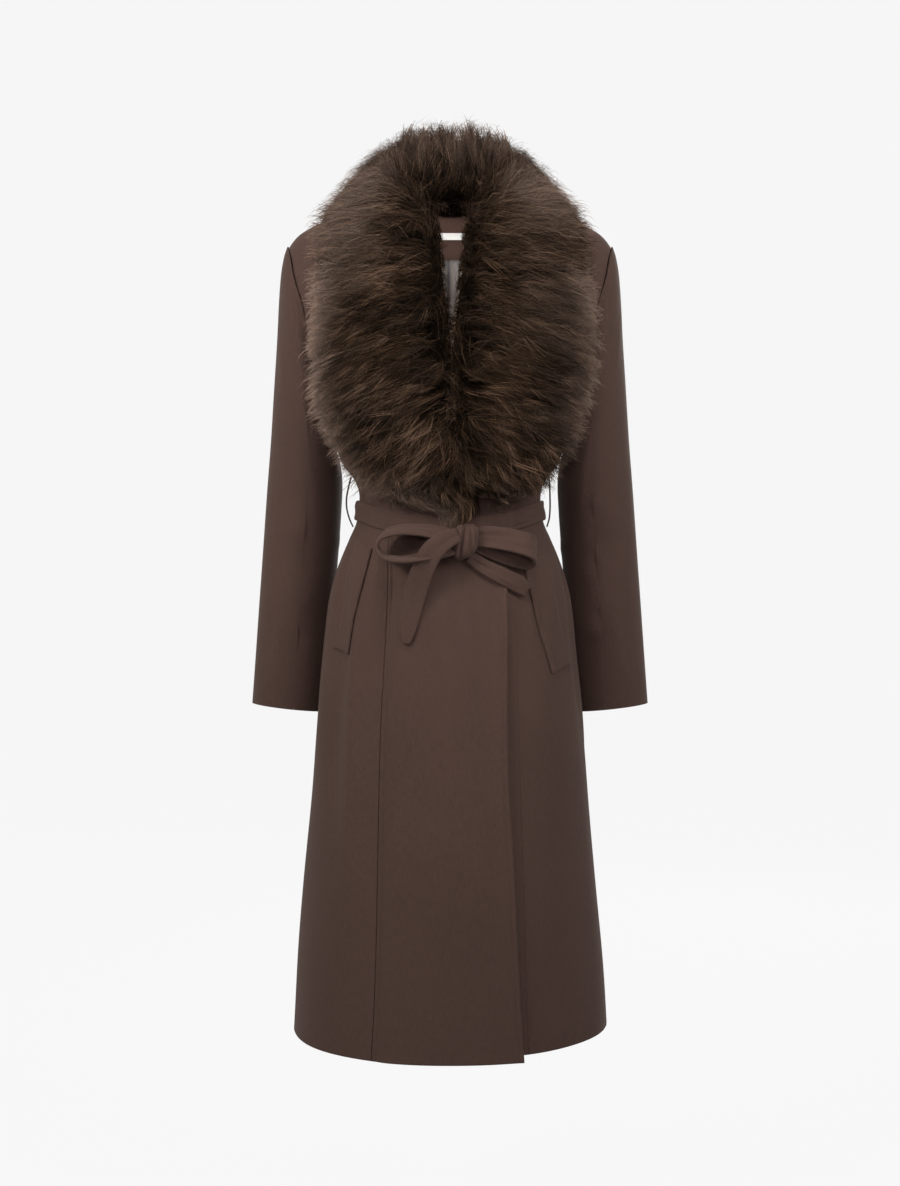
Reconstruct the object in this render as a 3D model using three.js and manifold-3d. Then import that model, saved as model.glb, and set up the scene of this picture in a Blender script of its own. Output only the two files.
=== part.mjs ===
// Long wrap coat with a deep shawl collar of long-pile fur, a tied belt and two-piece sleeves.
// Millimetres. +Z is up, -Y is the front, +X is the wearer's left. The origin is the centre of the
// neck base, between the two high shoulder points.
import * as THREE from "three";
import Module from "manifold-3d";
import { mergeVertices } from "three/addons/utils/BufferGeometryUtils.js";

// Driving dimensions
const clothThickness = 2.5; // coating wool with its fusing
const seamGap = 0.3; // free space left between two cut edges
const overlapLift = 3.8; // how far the overlapping front stands off the one below
const overlapRamp = 22; // width over which it climbs
const liningThickness = 1;
const liningInset = 0.06; // radians by which the lining stops short of the side seams
const facingThickness = 1.6;
const facingReach = 92; // the facing's half width
const facingDrop = clothThickness + 1; // from the coat's outer face to the facing's
const label = { halfWidth: 22, topZ: -37, bottomZ: -46.5, thickness: 0.6, room: 0.4 };
const liningDrop = clothThickness + 4; // and to the lining's, once it hangs free
const hemZ = -1080;
const liningHemZ = -1045;
const facingBottomZ = -65;
const facingReachZ = -20; // height at which its width is measured
const liningHangsFrom = -100; // below this the lining hangs free of the back

// Horizontal girths of the worn coat. halfWidth is at the side seam, front and back are the depths
// before and behind it, square is the exponent of the outline (2 is an ellipse).
const girths = [
  { z: -1080, halfWidth: 203, front: 185, back: 165, square: 2.1 },
  { z: -988, halfWidth: 197.5, front: 177, back: 159, square: 2.1 },
  { z: -884, halfWidth: 188.5, front: 168, back: 152, square: 2.15 },
  { z: -780, halfWidth: 179, front: 158, back: 145, square: 2.15 },
  { z: -666, halfWidth: 170, front: 148, back: 139, square: 2.2 },
  { z: -581, halfWidth: 160.5, front: 140, back: 133, square: 2.2 },
  { z: -524, halfWidth: 154.5, front: 134, back: 127, square: 2.2 },
  { z: -494, halfWidth: 148.5, front: 129, back: 121, square: 2.2 },
  { z: -468, halfWidth: 140.5, front: 123, back: 113, square: 2.15 },
  { z: -442, halfWidth: 131, front: 116, back: 104, square: 2.1 },
  { z: -420, halfWidth: 121.5, front: 110, back: 96, square: 2.1 },
  { z: -404, halfWidth: 118, front: 107, back: 92, square: 2.1 },
  { z: -385, halfWidth: 117.5, front: 107, back: 92, square: 2.1 },
  { z: -368, halfWidth: 122, front: 110, back: 95, square: 2.1 },
  { z: -346, halfWidth: 138, front: 118, back: 100, square: 2.1 },
  { z: -306, halfWidth: 154, front: 126, back: 106, square: 2.1 },
  { z: -278, halfWidth: 162, front: 130, back: 110, square: 2.1 },
  { z: -250, halfWidth: 169, front: 132, back: 112, square: 2 },
  { z: -204, halfWidth: 189, front: 128, back: 113, square: 2 },
  { z: -152, halfWidth: 209, front: 115, back: 110, square: 2 },
  { z: -106, halfWidth: 221, front: 101, back: 104, square: 2 },
  { z: -75, halfWidth: 215, front: 90, back: 96, square: 2 },
  { z: -60, halfWidth: 207, front: 84, back: 90, square: 2 },
  { z: -48, halfWidth: 197, front: 78, back: 85, square: 2 },
  { z: -38, halfWidth: 181, front: 73, back: 80, square: 2 },
  { z: -28, halfWidth: 159, front: 68, back: 76, square: 2 },
  { z: -18, halfWidth: 132, front: 63, back: 72, square: 2 },
  { z: -8, halfWidth: 104, front: 58, back: 67, square: 2 },
  { z: 0, halfWidth: 74, front: 52, back: 62, square: 2 },
];
const sideHemRise = 6; // the hem swings up this much at the side seams
const hemRiseFrom = -900;
const backNeckRise = 12; // the neckline is this much higher at the centre back
const neckRiseFrom = -110; // height at which that rise begins

// Armhole: an oval around the shoulder, seen from the side
const armhole = { topZ: -62, bottomZ: -250, frontReach: 52, backReach: 56 };

// Cut lines down the front, as the distance from the centre at each height.
const frontEdge = [
  // free edge of the wearer's right front, which laps over
  { z: -1080, x: 88 },
  { z: -970, x: 82 },
  { z: -850, x: 77 },
  { z: -740, x: 71.5 },
  { z: -600, x: 70 },
  { z: -490, x: 68 },
  { z: -436, x: 66 },
  { z: -404, x: 60 },
  { z: -375, x: 40 },
  { z: -346, x: 10 },
  { z: -300, x: -25 },
  { z: -250, x: -42 },
  { z: -150, x: -52 },
  { z: -60, x: -60 },
  { z: 0, x: -68 },
];
const underEdge = [
  // free edge of the wearer's left front, which lies below
  { z: -1080, x: -48 },
  { z: -436, x: -44 },
  { z: -404, x: -42 },
  { z: -375, x: -34 },
  { z: -346, x: -8 },
  { z: -300, x: 25 },
  { z: -250, x: 42 },
  { z: -150, x: 52 },
  { z: -60, x: 60 },
  { z: 0, x: 68 },
];
const panelSeam = [
  // seam between centre front and side front, alike on both sides
  { z: -1080, x: 96 },
  { z: -991, x: 92 },
  { z: -840, x: 89 },
  { z: -705, x: 86 },
  { z: -577, x: 82 },
  { z: -455, x: 77 },
  { z: -404, x: 75 },
  { z: -346, x: 80 },
  { z: -250, x: 88 },
  { z: -150, x: 92 },
  { z: -60, x: 92 },
  { z: -20, x: 88 },
  { z: -8, x: 84 },
  { z: 0, x: 71 },
];
const underHemRise = 8; // the wearer's left front ends this much higher

// Soft folds of the hanging cloth. angle is measured from the front centre towards the wearer's left.
const folds = [
  { topAngle: -47, hemAngle: -40, width: 5, depth: 3.4, top: -455, low: -960 },
  { topAngle: -58, hemAngle: -54, width: 6, depth: -3, top: -455, low: -900 },
  { topAngle: -76, hemAngle: -70, width: 7, depth: 2.5, top: -450, low: -800 },
  { topAngle: 69, hemAngle: 66, width: 6, depth: 2.2, top: -445, low: -720 },
  { topAngle: 78, hemAngle: 75, width: 5, depth: -2.4, top: -445, low: -760 },
  { topAngle: 10, hemAngle: 14, width: 9, depth: -2, top: -460, low: -760 },
  { topAngle: 128, hemAngle: 132, width: 8, depth: 4, top: -430, low: -1080 },
  { topAngle: 152, hemAngle: 150, width: 8, depth: -4, top: -430, low: -1080 },
  { topAngle: 206, hemAngle: 208, width: 9, depth: -4, top: -430, low: -1080 },
  { topAngle: 232, hemAngle: 228, width: 8, depth: 4, top: -430, low: -1080 },
  { topAngle: -63, hemAngle: -60, width: 5, depth: 3.5, top: -300, low: -400 },
  { topAngle: 62, hemAngle: 60, width: 5, depth: 3.5, top: -300, low: -400 },
  { topAngle: 140, hemAngle: 143, width: 7, depth: 3.5, top: -280, low: -396 },
  { topAngle: 219, hemAngle: 216, width: 7, depth: 3.5, top: -280, low: -396 },
];

// Sleeve rings from the armhole to the cuff: the point furthest from the body, the point nearest to
// it, the middle's place from front to back, and half the ring's depth.
const sleeveRings = [
  { outX: 213, outZ: -74, inX: 168.5, inZ: -256, midY: 3, depth: 56 },
  { outX: 217, outZ: -96, inX: 167, inZ: -266, midY: 5, depth: 59 },
  { outX: 220, outZ: -130, inX: 164, inZ: -280, midY: 9, depth: 62 },
  { outX: 223, outZ: -180, inX: 159, inZ: -298, midY: 15, depth: 64 },
  { outX: 228, outZ: -245, inX: 151, inZ: -325, midY: 24, depth: 64 },
  { outX: 233, outZ: -312, inX: 144.5, inZ: -358, midY: 33, depth: 63 },
  { outX: 239, outZ: -380, inX: 146, inZ: -402, midY: 41, depth: 61 },
  { outX: 245, outZ: -455, inX: 151, inZ: -465, midY: 49, depth: 59 },
  { outX: 251, outZ: -530, inX: 157, inZ: -538, midY: 56, depth: 57 },
  { outX: 256.5, outZ: -600, inX: 161, inZ: -609, midY: 62, depth: 55 },
  { outX: 261, outZ: -657, inX: 164, inZ: -668, midY: 66, depth: 54 },
];
const sleeveStand = 0.5; // sideways room between the armhole's edge and the sleeve's
const sleeveTrim = 0.17; // degrees by which each sleeve piece stops short of the seam
const sleeveStep = 15; // degrees round the sleeve between two columns of points
const frontSleeveSeam = 105; // angle round the sleeve: 0 is outward, 90 is the front, 180 the body
const backSleeveSeam = 240;
const bodyClearance = 1.2; // least room between sleeve and body

// Pocket welts: corners on the side fronts, as distance from the centre and height
const welts = {
  right: {
    frontTop: { x: 97, z: -456 },
    frontLow: { x: 127, z: -588 },
    sideTop: { x: 115, z: -446 },
    sideLow: { x: 147, z: -580 },
  },
  left: {
    frontTop: { x: 90, z: -476 },
    frontLow: { x: 125, z: -612 },
    sideTop: { x: 117, z: -464 },
    sideLow: { x: 149, z: -600 },
  },
};
const weltRoom = 0.9;
const weltThickness = 2.4;

// Fur collar. The first rows go round the neck from the centre back; their points are the same on
// both sides. inner is the fur's face towards the neck, crown its top, outer its fall.
const neckRows = [
  {
    seat: { x: 0, z: 0 },
    rim: { x: 0, z: -72 },
    inner: [0, 42, 48],
    crown: [0, 74, 115],
    outer: [0, 121, 36],
  },
  {
    seat: { x: 42, z: 0 },
    rim: { x: 82, z: -60 },
    inner: [34, 34, 46],
    crown: [54, 64, 110],
    outer: [92, 100, 30],
  },
  {
    seat: { x: 69, z: 0 },
    rim: { x: 140, z: -42 },
    inner: [52, 12, 34],
    crown: [91, 32, 73],
    outer: [134, 48, 12],
  },
];
const shoulderRow = {
  seat: { x: 73, z: -3 },
  rim: { x: 160, z: -36 },
  inner: [45, -26, 18],
  crown: [98, -16, 57],
  outer: [147, -16, 4],
};
// The rows on the chest: where the fur begins at the opening, where it ends, and its height.
const rightChestRows = [
  { inX: -18, inZ: -42, outX: -158, outZ: -66, height: 50 },
  { inX: -11, inZ: -100, outX: -160, outZ: -130, height: 48 },
  { inX: -7, inZ: -165, outX: -158, outZ: -205, height: 46 },
  { inX: -3, inZ: -228, outX: -150, outZ: -275, height: 46 },
  { inX: 2, inZ: -280, outX: -130, outZ: -330, height: 44 },
  { inX: 7, inZ: -325, outX: -95, outZ: -374, height: 42 },
  { inX: 14, inZ: -360, outX: -50, outZ: -402, height: 37 },
  { inX: 24, inZ: -388, outX: -2, outZ: -415, height: 28 },
];
const leftChestRows = [
  { inX: 21, inZ: -42, outX: 158, outZ: -66, height: 50 },
  { inX: 16, inZ: -100, outX: 162, outZ: -130, height: 48 },
  { inX: 12, inZ: -165, outX: 162, outZ: -200, height: 46 },
  { inX: 8, inZ: -228, outX: 153, outZ: -256, height: 46 },
  { inX: 8, inZ: -280, outX: 141, outZ: -304, height: 44 },
  { inX: 13, inZ: -322, outX: 122, outZ: -344, height: 42 },
  { inX: 21, inZ: -356, outX: 95, outZ: -379, height: 37 },
  { inX: 31, inZ: -383, outX: 64, outZ: -401, height: 28 },
];
// The pile's section on the chest: how far out, as a share of the fur's width, and how high, as a
// share of its height.
const innerShare = 0.07;
const innerHeight = 0.66;
const crownShare = 0.46;
const flare = { right: 0.95, left: 0.97 };
const flareHeight = 0.6;
const topPoints = 8; // points over the top of a section, and along its underside
const lowPoints = 6;
const chestSeat = overlapLift + 0.8; // room below the collar on the chest
const beltSeat = 12; // and where it hangs in front of the belt
const neckSeat = 1.4;
const collarRoom = 1.3; // least room between the collar and the overlapping front
const collarSteps = 38;
const collarHalfGap = 0.4; // from the centre back to each half

// Belt: a strip of doubled cloth round the waist, tied in a bow
const belt = {
  sideZ: -404,
  frontZ: -431,
  backZ: -399,
  halfHeight: 13,
  thickness: 4.2,
  room: 1,
  steps: 60,
  ridge: 1.1, // height of its soft ridges, which turn round the waist
  ridgeTurns: 3,
  ridgePhase: 0.6,
  edgeShare: 0.8, // its edges are this much of its thickness
  ridgeAt: 0.4, // the ridge and the hollow below it, as a share of the half height
  hollowAt: -0.3,
  stepFrom: 2, // beyond the overlapping front's edge it comes down between these distances
  stepTo: 16,
};
const strapThickness = 4.6;
const strapBevel = 0.32; // of the thickness
const knot = {
  x: 19,
  z: -449,
  halfWidth: 18,
  halfHeight: 20,
  halfDepth: 12,
  coatRoom: 0.8, // least room to the coat below the belt, and to the coat under the belt
  beltRoom: 7.5,
  lowShare: 0.7, // place of that room, as a share of the half height
  squareness: 0.72, // below 1 the round form turns boxy
  pinch: 0.1, // its waist is drawn in, and its face has grooves
  groove: 0.07,
  pinchWave: 2.4, // waves of both, in radians from its middle to its edge
  grooveWave: 9,
  strapRoom: 0.5, // between the knot and the straps that come out of it
};

// Belt carriers: strips of cloth at the side seams which stand out round the belt
const carrierWidth = 9;
const carrierThickness = 1.8;
const carriers = {
  right: [
    { x: 128.6, z: -360 },
    { x: 131.5, z: -372 },
    { x: 134.5, z: -388 },
    { x: 134, z: -402 },
    { x: 130.5, z: -415 },
    { x: 126, z: -425 },
  ],
  left: [
    { x: 128.6, z: -360 },
    { x: 129.6, z: -373 },
    { x: 130, z: -388 },
    { x: 130, z: -402 },
    { x: 129, z: -414 },
    { x: 126, z: -425 },
  ],
};

const wool = { color: 0x4c3a34, roughness: 0.92, metalness: 0 };
const fur = { color: 0x35281f, roughness: 0.85, metalness: 0 };
const liningSatin = { color: 0x564c47, roughness: 0.5, metalness: 0 };
const labelSatin = { color: 0xdcdad5, roughness: 0.5, metalness: 0 };

// Curves and the coat's surface

// A smooth function through a table's rows, which neither overshoots nor waves between them.
function smoothTable(rows, key) {
  const sorted = [...rows].sort((a, b) => a.z - b.z);
  const z = sorted.map((row) => row.z);
  const value = sorted.map((row) => row[key]);
  const slope = z.slice(1).map((next, i) => (value[i + 1] - value[i]) / (next - z[i]));
  const tangent = z.map((_, i) => {
    if (i === 0) return slope[0];
    if (i === z.length - 1) return slope[i - 1];
    if (slope[i - 1] * slope[i] <= 0) return 0;
    return (2 * slope[i - 1] * slope[i]) / (slope[i - 1] + slope[i]);
  });
  return (at) => {
    const here = Math.min(Math.max(at, z[0]), z[z.length - 1]);
    let i = z.findIndex((next) => next > here) - 1;
    if (i < 0) i = z.length - 2;
    const span = z[i + 1] - z[i];
    const t = (here - z[i]) / span;
    return (
      value[i] * (1 + 2 * t) * (1 - t) ** 2 +
      tangent[i] * span * t * (1 - t) ** 2 +
      value[i + 1] * t * t * (3 - 2 * t) +
      tangent[i + 1] * span * t * t * (t - 1)
    );
  };
}

const girth = Object.fromEntries(
  ["halfWidth", "front", "back", "square"].map((key) => [key, smoothTable(girths, key)]),
);
const frontEdgeX = smoothTable(frontEdge, "x");
const underEdgeX = smoothTable(underEdge, "x");
const panelSeamX = smoothTable(panelSeam, "x");

const smoothStep = (low, high, at) => THREE.MathUtils.smoothstep(at, low, high);
const lerp = THREE.MathUtils.lerp;
const radians = THREE.MathUtils.degToRad;

// How far the folds push the cloth out at this angle and height.
function foldDepth(angle, z) {
  const degrees = THREE.MathUtils.radToDeg(angle);
  let depth = 0;
  for (const fold of folds) {
    if (z > fold.top || z < fold.low - 1) continue;
    const share = (fold.top - z) / (fold.top - fold.low);
    const centre = lerp(fold.topAngle, fold.hemAngle, share);
    const away = THREE.MathUtils.euclideanModulo(degrees - centre + 180, 360) - 180;
    const fade = smoothStep(0, 0.18, share) * (fold.low <= hemZ ? 1 : smoothStep(0, 0.5, 1 - share));
    depth += fold.depth * fade * Math.exp(-((away / fold.width) ** 2));
  }
  return depth;
}

// A point of the coat's outer face. angle is 0 at the front centre and grows towards the wearer's left.
function bodyPoint(angle, z) {
  const power = 2 / girth.square(z);
  const sine = Math.sin(angle);
  const cosine = Math.cos(angle);
  const depth = cosine > 0 ? girth.front(z) : girth.back(z);
  const out = 1 + foldDepth(angle, z) / depth;
  const neckRise = cosine < 0 ? backNeckRise * cosine ** 2 * smoothStep(neckRiseFrom, 0, z) : 0;
  const hemRise = sideHemRise * sine ** 4 * (1 - smoothStep(hemZ, hemRiseFrom, z));
  return new THREE.Vector3(
    girth.halfWidth(z) * out * Math.sign(sine) * Math.abs(sine) ** power,
    -depth * out * Math.sign(cosine) * Math.abs(cosine) ** power,
    z + neckRise + hemRise,
  );
}

function bodyNormal(angle, z) {
  const turn = 0.004;
  const climb = 0.6;
  const high = Math.min(z + climb, 0);
  const low = Math.max(z - climb, hemZ);
  const across = bodyPoint(angle + turn, z).sub(bodyPoint(angle - turn, z));
  const up = bodyPoint(angle, high).sub(bodyPoint(angle, low));
  return across.cross(up).normalize();
}

const outFrom = (angle, z, offset) => bodyPoint(angle, z).addScaledVector(bodyNormal(angle, z), offset);

// The angle at which the front reaches this distance from the centre.
function frontAngle(x, z) {
  const share = Math.min(Math.abs(x) / girth.halfWidth(z), 1);
  return Math.sign(x) * Math.asin(share ** (girth.square(z) / 2));
}
const backAngle = (x, z) => Math.PI - frontAngle(x, z);

// Where the armhole cuts this height: an angle on the front, or on the back.
function armholeAngle(z, onFront) {
  const share = (z - armholeMiddle) / armholeHalf;
  if (Math.abs(share) >= 0.99999) return Math.PI / 2;
  const reach = (onFront ? armhole.frontReach : armhole.backReach) * Math.sqrt(1 - share ** 2);
  const depth = onFront ? girth.front(z) : girth.back(z);
  const turn = Math.asin((reach / depth) ** (girth.square(z) / 2));
  return Math.PI / 2 + (onFront ? -turn : turn);
}

// How far the overlapping front is lifted at this distance from the centre.
const liftOver = (x, z) => overlapLift * smoothStep(-panelSeamX(z), -panelSeamX(z) + overlapRamp, x);

// Solids

// Vertices and triangles collected for one closed body.
class Skin {
  points = [];
  faces = [];

  add(point) {
    this.points.push(point.x, point.y, point.z);
    return this.points.length / 3 - 1;
  }

  quad(a, b, c, d) {
    this.faces.push(a, b, c, a, c, d);
  }

  geometry() {
    const made = new THREE.BufferGeometry();
    made.setAttribute("position", new THREE.Float32BufferAttribute(this.points, 3));
    made.setIndex(this.faces);
    return made;
  }
}

// A wall of cloth between two grids of points. Columns run anticlockwise as seen from above.
function wallSolid(outerGrid, innerGrid) {
  const skin = new Skin();
  const outer = outerGrid.map((row) => row.map((point) => skin.add(point)));
  const inner = innerGrid.map((row) => row.map((point) => skin.add(point)));
  const top = outer.length - 1;
  const last = outer[0].length - 1;
  for (let j = 0; j < top; j += 1) {
    for (let i = 0; i < last; i += 1) {
      skin.quad(outer[j][i], outer[j][i + 1], outer[j + 1][i + 1], outer[j + 1][i]);
      skin.quad(inner[j][i + 1], inner[j][i], inner[j + 1][i], inner[j + 1][i + 1]);
    }
    skin.quad(inner[j][0], outer[j][0], outer[j + 1][0], inner[j + 1][0]);
    skin.quad(inner[j][last], inner[j + 1][last], outer[j + 1][last], outer[j][last]);
  }
  for (let i = 0; i < last; i += 1) {
    skin.quad(inner[0][i], inner[0][i + 1], outer[0][i + 1], outer[0][i]);
    skin.quad(outer[top][i], outer[top][i + 1], inner[top][i + 1], inner[top][i]);
  }
  return skin.geometry();
}

// A body through closed loops of points, with a point at each end's middle.
function loftSolid(loops) {
  const skin = new Skin();
  const rings = loops.map((loop) => loop.map((point) => skin.add(point)));
  const count = loops[0].length;
  for (let j = 0; j + 1 < rings.length; j += 1) {
    for (let i = 0; i < count; i += 1) {
      const next = (i + 1) % count;
      skin.quad(rings[j][i], rings[j][next], rings[j + 1][next], rings[j + 1][i]);
    }
  }
  const middle = (loop) => loop.reduce((sum, p) => sum.add(p), new THREE.Vector3()).divideScalar(count);
  const first = skin.add(middle(loops[0]));
  const last = skin.add(middle(loops[loops.length - 1]));
  for (let i = 0; i < count; i += 1) {
    const next = (i + 1) % count;
    skin.faces.push(first, rings[0][next], rings[0][i]);
    skin.faces.push(last, rings[rings.length - 1][i], rings[rings.length - 1][next]);
  }
  return skin.geometry();
}

// A flat strip along a path. Each station gives its middle, the direction of its width, its half
// width and the face's own direction.
function strapSolid(stations, thickness) {
  const loops = stations.map(({ middle, across, half, facing }) => {
    const side = across.clone().normalize();
    const out = facing.clone().normalize();
    const bevel = thickness * strapBevel;
    const corner = (w, h) =>
      middle.clone().addScaledVector(side, w).addScaledVector(out, h * (thickness / 2));
    return [
      corner(-half + bevel, -1),
      corner(half - bevel, -1),
      corner(half, 0),
      corner(half - bevel, 1),
      corner(-half + bevel, 1),
      corner(-half, 0),
    ];
  });
  return loftSolid(loops);
}

const sides = [
  ["right", -1],
  ["left", 1],
];
const parts = new THREE.Group();
const materials = new Map();

function addPart(name, geometry, finish) {
  if (!materials.has(finish)) materials.set(finish, new THREE.MeshStandardMaterial(finish));
  geometry.computeVertexNormals();
  const mesh = new THREE.Mesh(geometry, materials.get(finish));
  mesh.name = name;
  parts.add(mesh);
}

// Body panels

const armholeMiddle = (armhole.topZ + armhole.bottomZ) / 2;
const armholeHalf = (armhole.topZ - armhole.bottomZ) / 2;
const armholeRows = Array.from(
  { length: 180 / sleeveStep + 1 },
  (_, k) => armholeMiddle - armholeHalf * Math.cos(radians(k * sleeveStep)),
);
const lowRows = [
  -1080, -960, -840, -730, -640, -570, -515, -475, -450, -433, -418, -404, -390, -376, -360, -342,
  -310, -275,
];
const bodyRows = [...lowRows, ...armholeRows, -46, -30, -16, -6, 0];

// A panel between two cut lines, given as angles for each height.
function panelGrid(rows, columns, startAngle, endAngle, offset) {
  return rows.map((z) => {
    const trim = seamGap / 2 / Math.max(girth.front(z), 60);
    return Array.from({ length: columns + 1 }, (_, i) => {
      const nominal = lerp(startAngle(z), endAngle(z), i / columns);
      const angle = nominal + (i === 0 ? trim : 0) - (i === columns ? trim : 0);
      return bodyPoint(angle, z).addScaledVector(bodyNormal(nominal, z), offset(nominal, z));
    });
  });
}

function clothPanel(rows, columns, startAngle, endAngle, lift = () => 0, thickness = clothThickness) {
  return wallSolid(
    panelGrid(rows, columns, startAngle, endAngle, lift),
    panelGrid(rows, columns, startAngle, endAngle, (angle, z) => lift(angle, z) - thickness),
  );
}

const sideAngle = (z) => armholeAngle(z, true);

function addFronts() {
  const seamRight = (z) => -frontAngle(panelSeamX(z), z);
  const seamLeft = (z) => frontAngle(panelSeamX(z), z);
  const lift = (angle, z) => liftOver(bodyPoint(angle, z).x, z);
  const rightEdge = (z) => frontAngle(frontEdgeX(z), z);
  addPart("front_right", clothPanel(bodyRows, 7, seamRight, rightEdge, lift), wool);
  const raisedRows = bodyRows.map((z) => (z === hemZ ? hemZ + underHemRise : z));
  const leftEdge = (z) => frontAngle(underEdgeX(z), z);
  addPart("front_left", clothPanel(raisedRows, 6, leftEdge, seamLeft), wool);
  addPart("side_front_right", clothPanel(bodyRows, 11, (z) => -sideAngle(z), seamRight), wool);
  addPart("side_front_left", clothPanel(raisedRows, 11, seamLeft, sideAngle), wool);
}

function addBack() {
  const start = (z) => armholeAngle(z, false);
  const end = (z) => 2 * Math.PI - armholeAngle(z, false);
  addPart("back", clothPanel(bodyRows, 16, start, end), wool);
  const facingStart = backAngle(facingReach, facingReachZ);
  const facingEnd = 2 * Math.PI - facingStart;
  const facingRows = [facingBottomZ, -46, -30, -16, -6, -1];
  const facingLevel = () => -facingDrop;
  addPart(
    "back_neck_facing",
    clothPanel(facingRows, 12, () => facingStart, () => facingEnd, facingLevel, facingThickness),
    wool,
  );
  const liningRows = [
    liningHemZ, -880, -730, -600, -515, -460, -433, -411, -390, -368, -342, -300, -250, -200, -150,
    -110, -80, facingBottomZ - seamGap,
  ];
  const liningStart = (z) => start(z) + liningInset;
  const liningEnd = (z) => end(z) - liningInset;
  const held = (z) => smoothStep(liningHangsFrom, facingBottomZ, z);
  const fall = (angle, z) => -lerp(liningDrop, facingDrop, held(z));
  const liningWall = clothPanel(liningRows, 10, liningStart, liningEnd, fall, liningThickness);
  addPart("back_lining", liningWall, liningSatin);
}

function addLabel() {
  const reach = (side) => (z) => backAngle(side * label.halfWidth, z);
  const drop = () => -(facingDrop + facingThickness + label.room);
  addPart(
    "neck_label",
    clothPanel([label.bottomZ, label.topZ], 4, reach(1), reach(-1), drop, label.thickness),
    labelSatin,
  );
}

// Sleeves

// The armhole's edge at an angle round the sleeve.
function armholePoint(turn, side) {
  const z = armholeMiddle + armholeHalf * Math.cos(turn);
  const onFront = Math.sin(turn) >= 0;
  const edge = bodyPoint(armholeAngle(z, onFront), z);
  edge.x = (edge.x + sleeveStand) * side;
  return edge;
}

// Moves a point sideways until it is clear of the body's outer face.
function clearOfBody(point, side) {
  const z = point.z;
  if (z > armhole.bottomZ + 12) return point;
  const depth = point.y < 0 ? girth.front(z) : girth.back(z);
  const share = Math.min(Math.abs(point.y) / depth, 1);
  const power = girth.square(z);
  const least = girth.halfWidth(z) * (1 - share ** power) ** (1 / power) + bodyClearance;
  if (share < 1 && point.x * side < least) point.x = least * side;
  return point;
}

function sleevePoint(turn, ring, side) {
  const at = (k) => {
    if (k <= 0) return armholePoint(turn, side);
    const row = sleeveRings[Math.min(k, sleeveRings.length) - 1];
    const share = (1 + Math.cos(turn)) / 2;
    const point = new THREE.Vector3(
      lerp(row.inX, row.outX, share) * side,
      row.midY - row.depth * Math.sin(turn),
      lerp(row.inZ, row.outZ, share),
    );
    return clearOfBody(point, side);
  };
  const whole = Math.floor(ring);
  return at(whole).lerp(at(whole + 1), ring - whole);
}

function sleeveNormal(turn, ring, side) {
  const step = 0.03;
  const low = Math.max(ring - 0.5, 0);
  const high = Math.min(ring + 0.5, sleeveRings.length);
  const around = sleevePoint(turn + step, ring, side).sub(sleevePoint(turn - step, ring, side));
  const along = sleevePoint(turn, high, side).sub(sleevePoint(turn, low, side));
  const normal = around.cross(along).multiplyScalar(side);
  if (ring === 0) normal.x = 0; // the first ring lies against the armhole's edge
  return normal.normalize();
}

function sleevePanel(startDegrees, endDegrees, side) {
  const columns = (endDegrees - startDegrees) / sleeveStep;
  const grid = (offset) =>
    Array.from({ length: sleeveRings.length + 1 }, (_, k) => {
      const ring = sleeveRings.length - k;
      return Array.from({ length: columns + 1 }, (_, i) => {
        const nominal = side > 0 ? endDegrees - i * sleeveStep : startDegrees + i * sleeveStep;
        const trim = nominal === startDegrees ? sleeveTrim : nominal === endDegrees ? -sleeveTrim : 0;
        const out = sleeveNormal(radians(nominal), ring, side);
        return sleevePoint(radians(nominal + trim), ring, side).addScaledVector(out, offset);
      });
    });
  return wallSolid(grid(0), grid(-clothThickness));
}

function addSleeves() {
  for (const [word, side] of sides) {
    addPart(`sleeve_top_${word}`, sleevePanel(backSleeveSeam - 360, frontSleeveSeam, side), wool);
    addPart(`sleeve_under_${word}`, sleevePanel(frontSleeveSeam, backSleeveSeam, side), wool);
  }
}

// Pockets

function weltSolid(welt, side) {
  const along = 8;
  const across = 4;
  const grid = (offset) =>
    Array.from({ length: along + 1 }, (_, j) =>
      Array.from({ length: across + 1 }, (_, i) => {
        const down = 1 - j / along;
        const out = side > 0 ? i / across : 1 - i / across;
        const front = lerp(welt.frontTop.x, welt.frontLow.x, down);
        const outer = lerp(welt.sideTop.x, welt.sideLow.x, down);
        const x = lerp(front, outer, out) * side;
        const frontZ = lerp(welt.frontTop.z, welt.frontLow.z, down);
        const sideZ = lerp(welt.sideTop.z, welt.sideLow.z, down);
        const z = lerp(frontZ, sideZ, out);
        return outFrom(frontAngle(x, z), z, offset);
      }),
    );
  return wallSolid(grid(weltRoom + weltThickness), grid(weltRoom));
}

// Fur collar

// Each row guides the collar's section: seat and rim on the coat, inner face, crown and outer face.
function neckGuides(side) {
  const guides = (row, angleAt, room) => {
    const [inner, crown, outer] = ["inner", "crown", "outer"].map((key) => {
      const [x, y, z] = row[key];
      return new THREE.Vector3(x * side, y, z);
    });
    const seatAngle = side * angleAt(row.seat.x, row.seat.z);
    const rimAngle = side * angleAt(row.rim.x, row.rim.z);
    return { seatAngle, seatZ: row.seat.z, rimAngle, rimZ: row.rim.z, inner, crown, outer, room };
  };
  const round = neckRows.map((row) => guides(row, backAngle, neckSeat));
  return [...round, guides(shoulderRow, frontAngle, chestSeat)];
}

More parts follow.
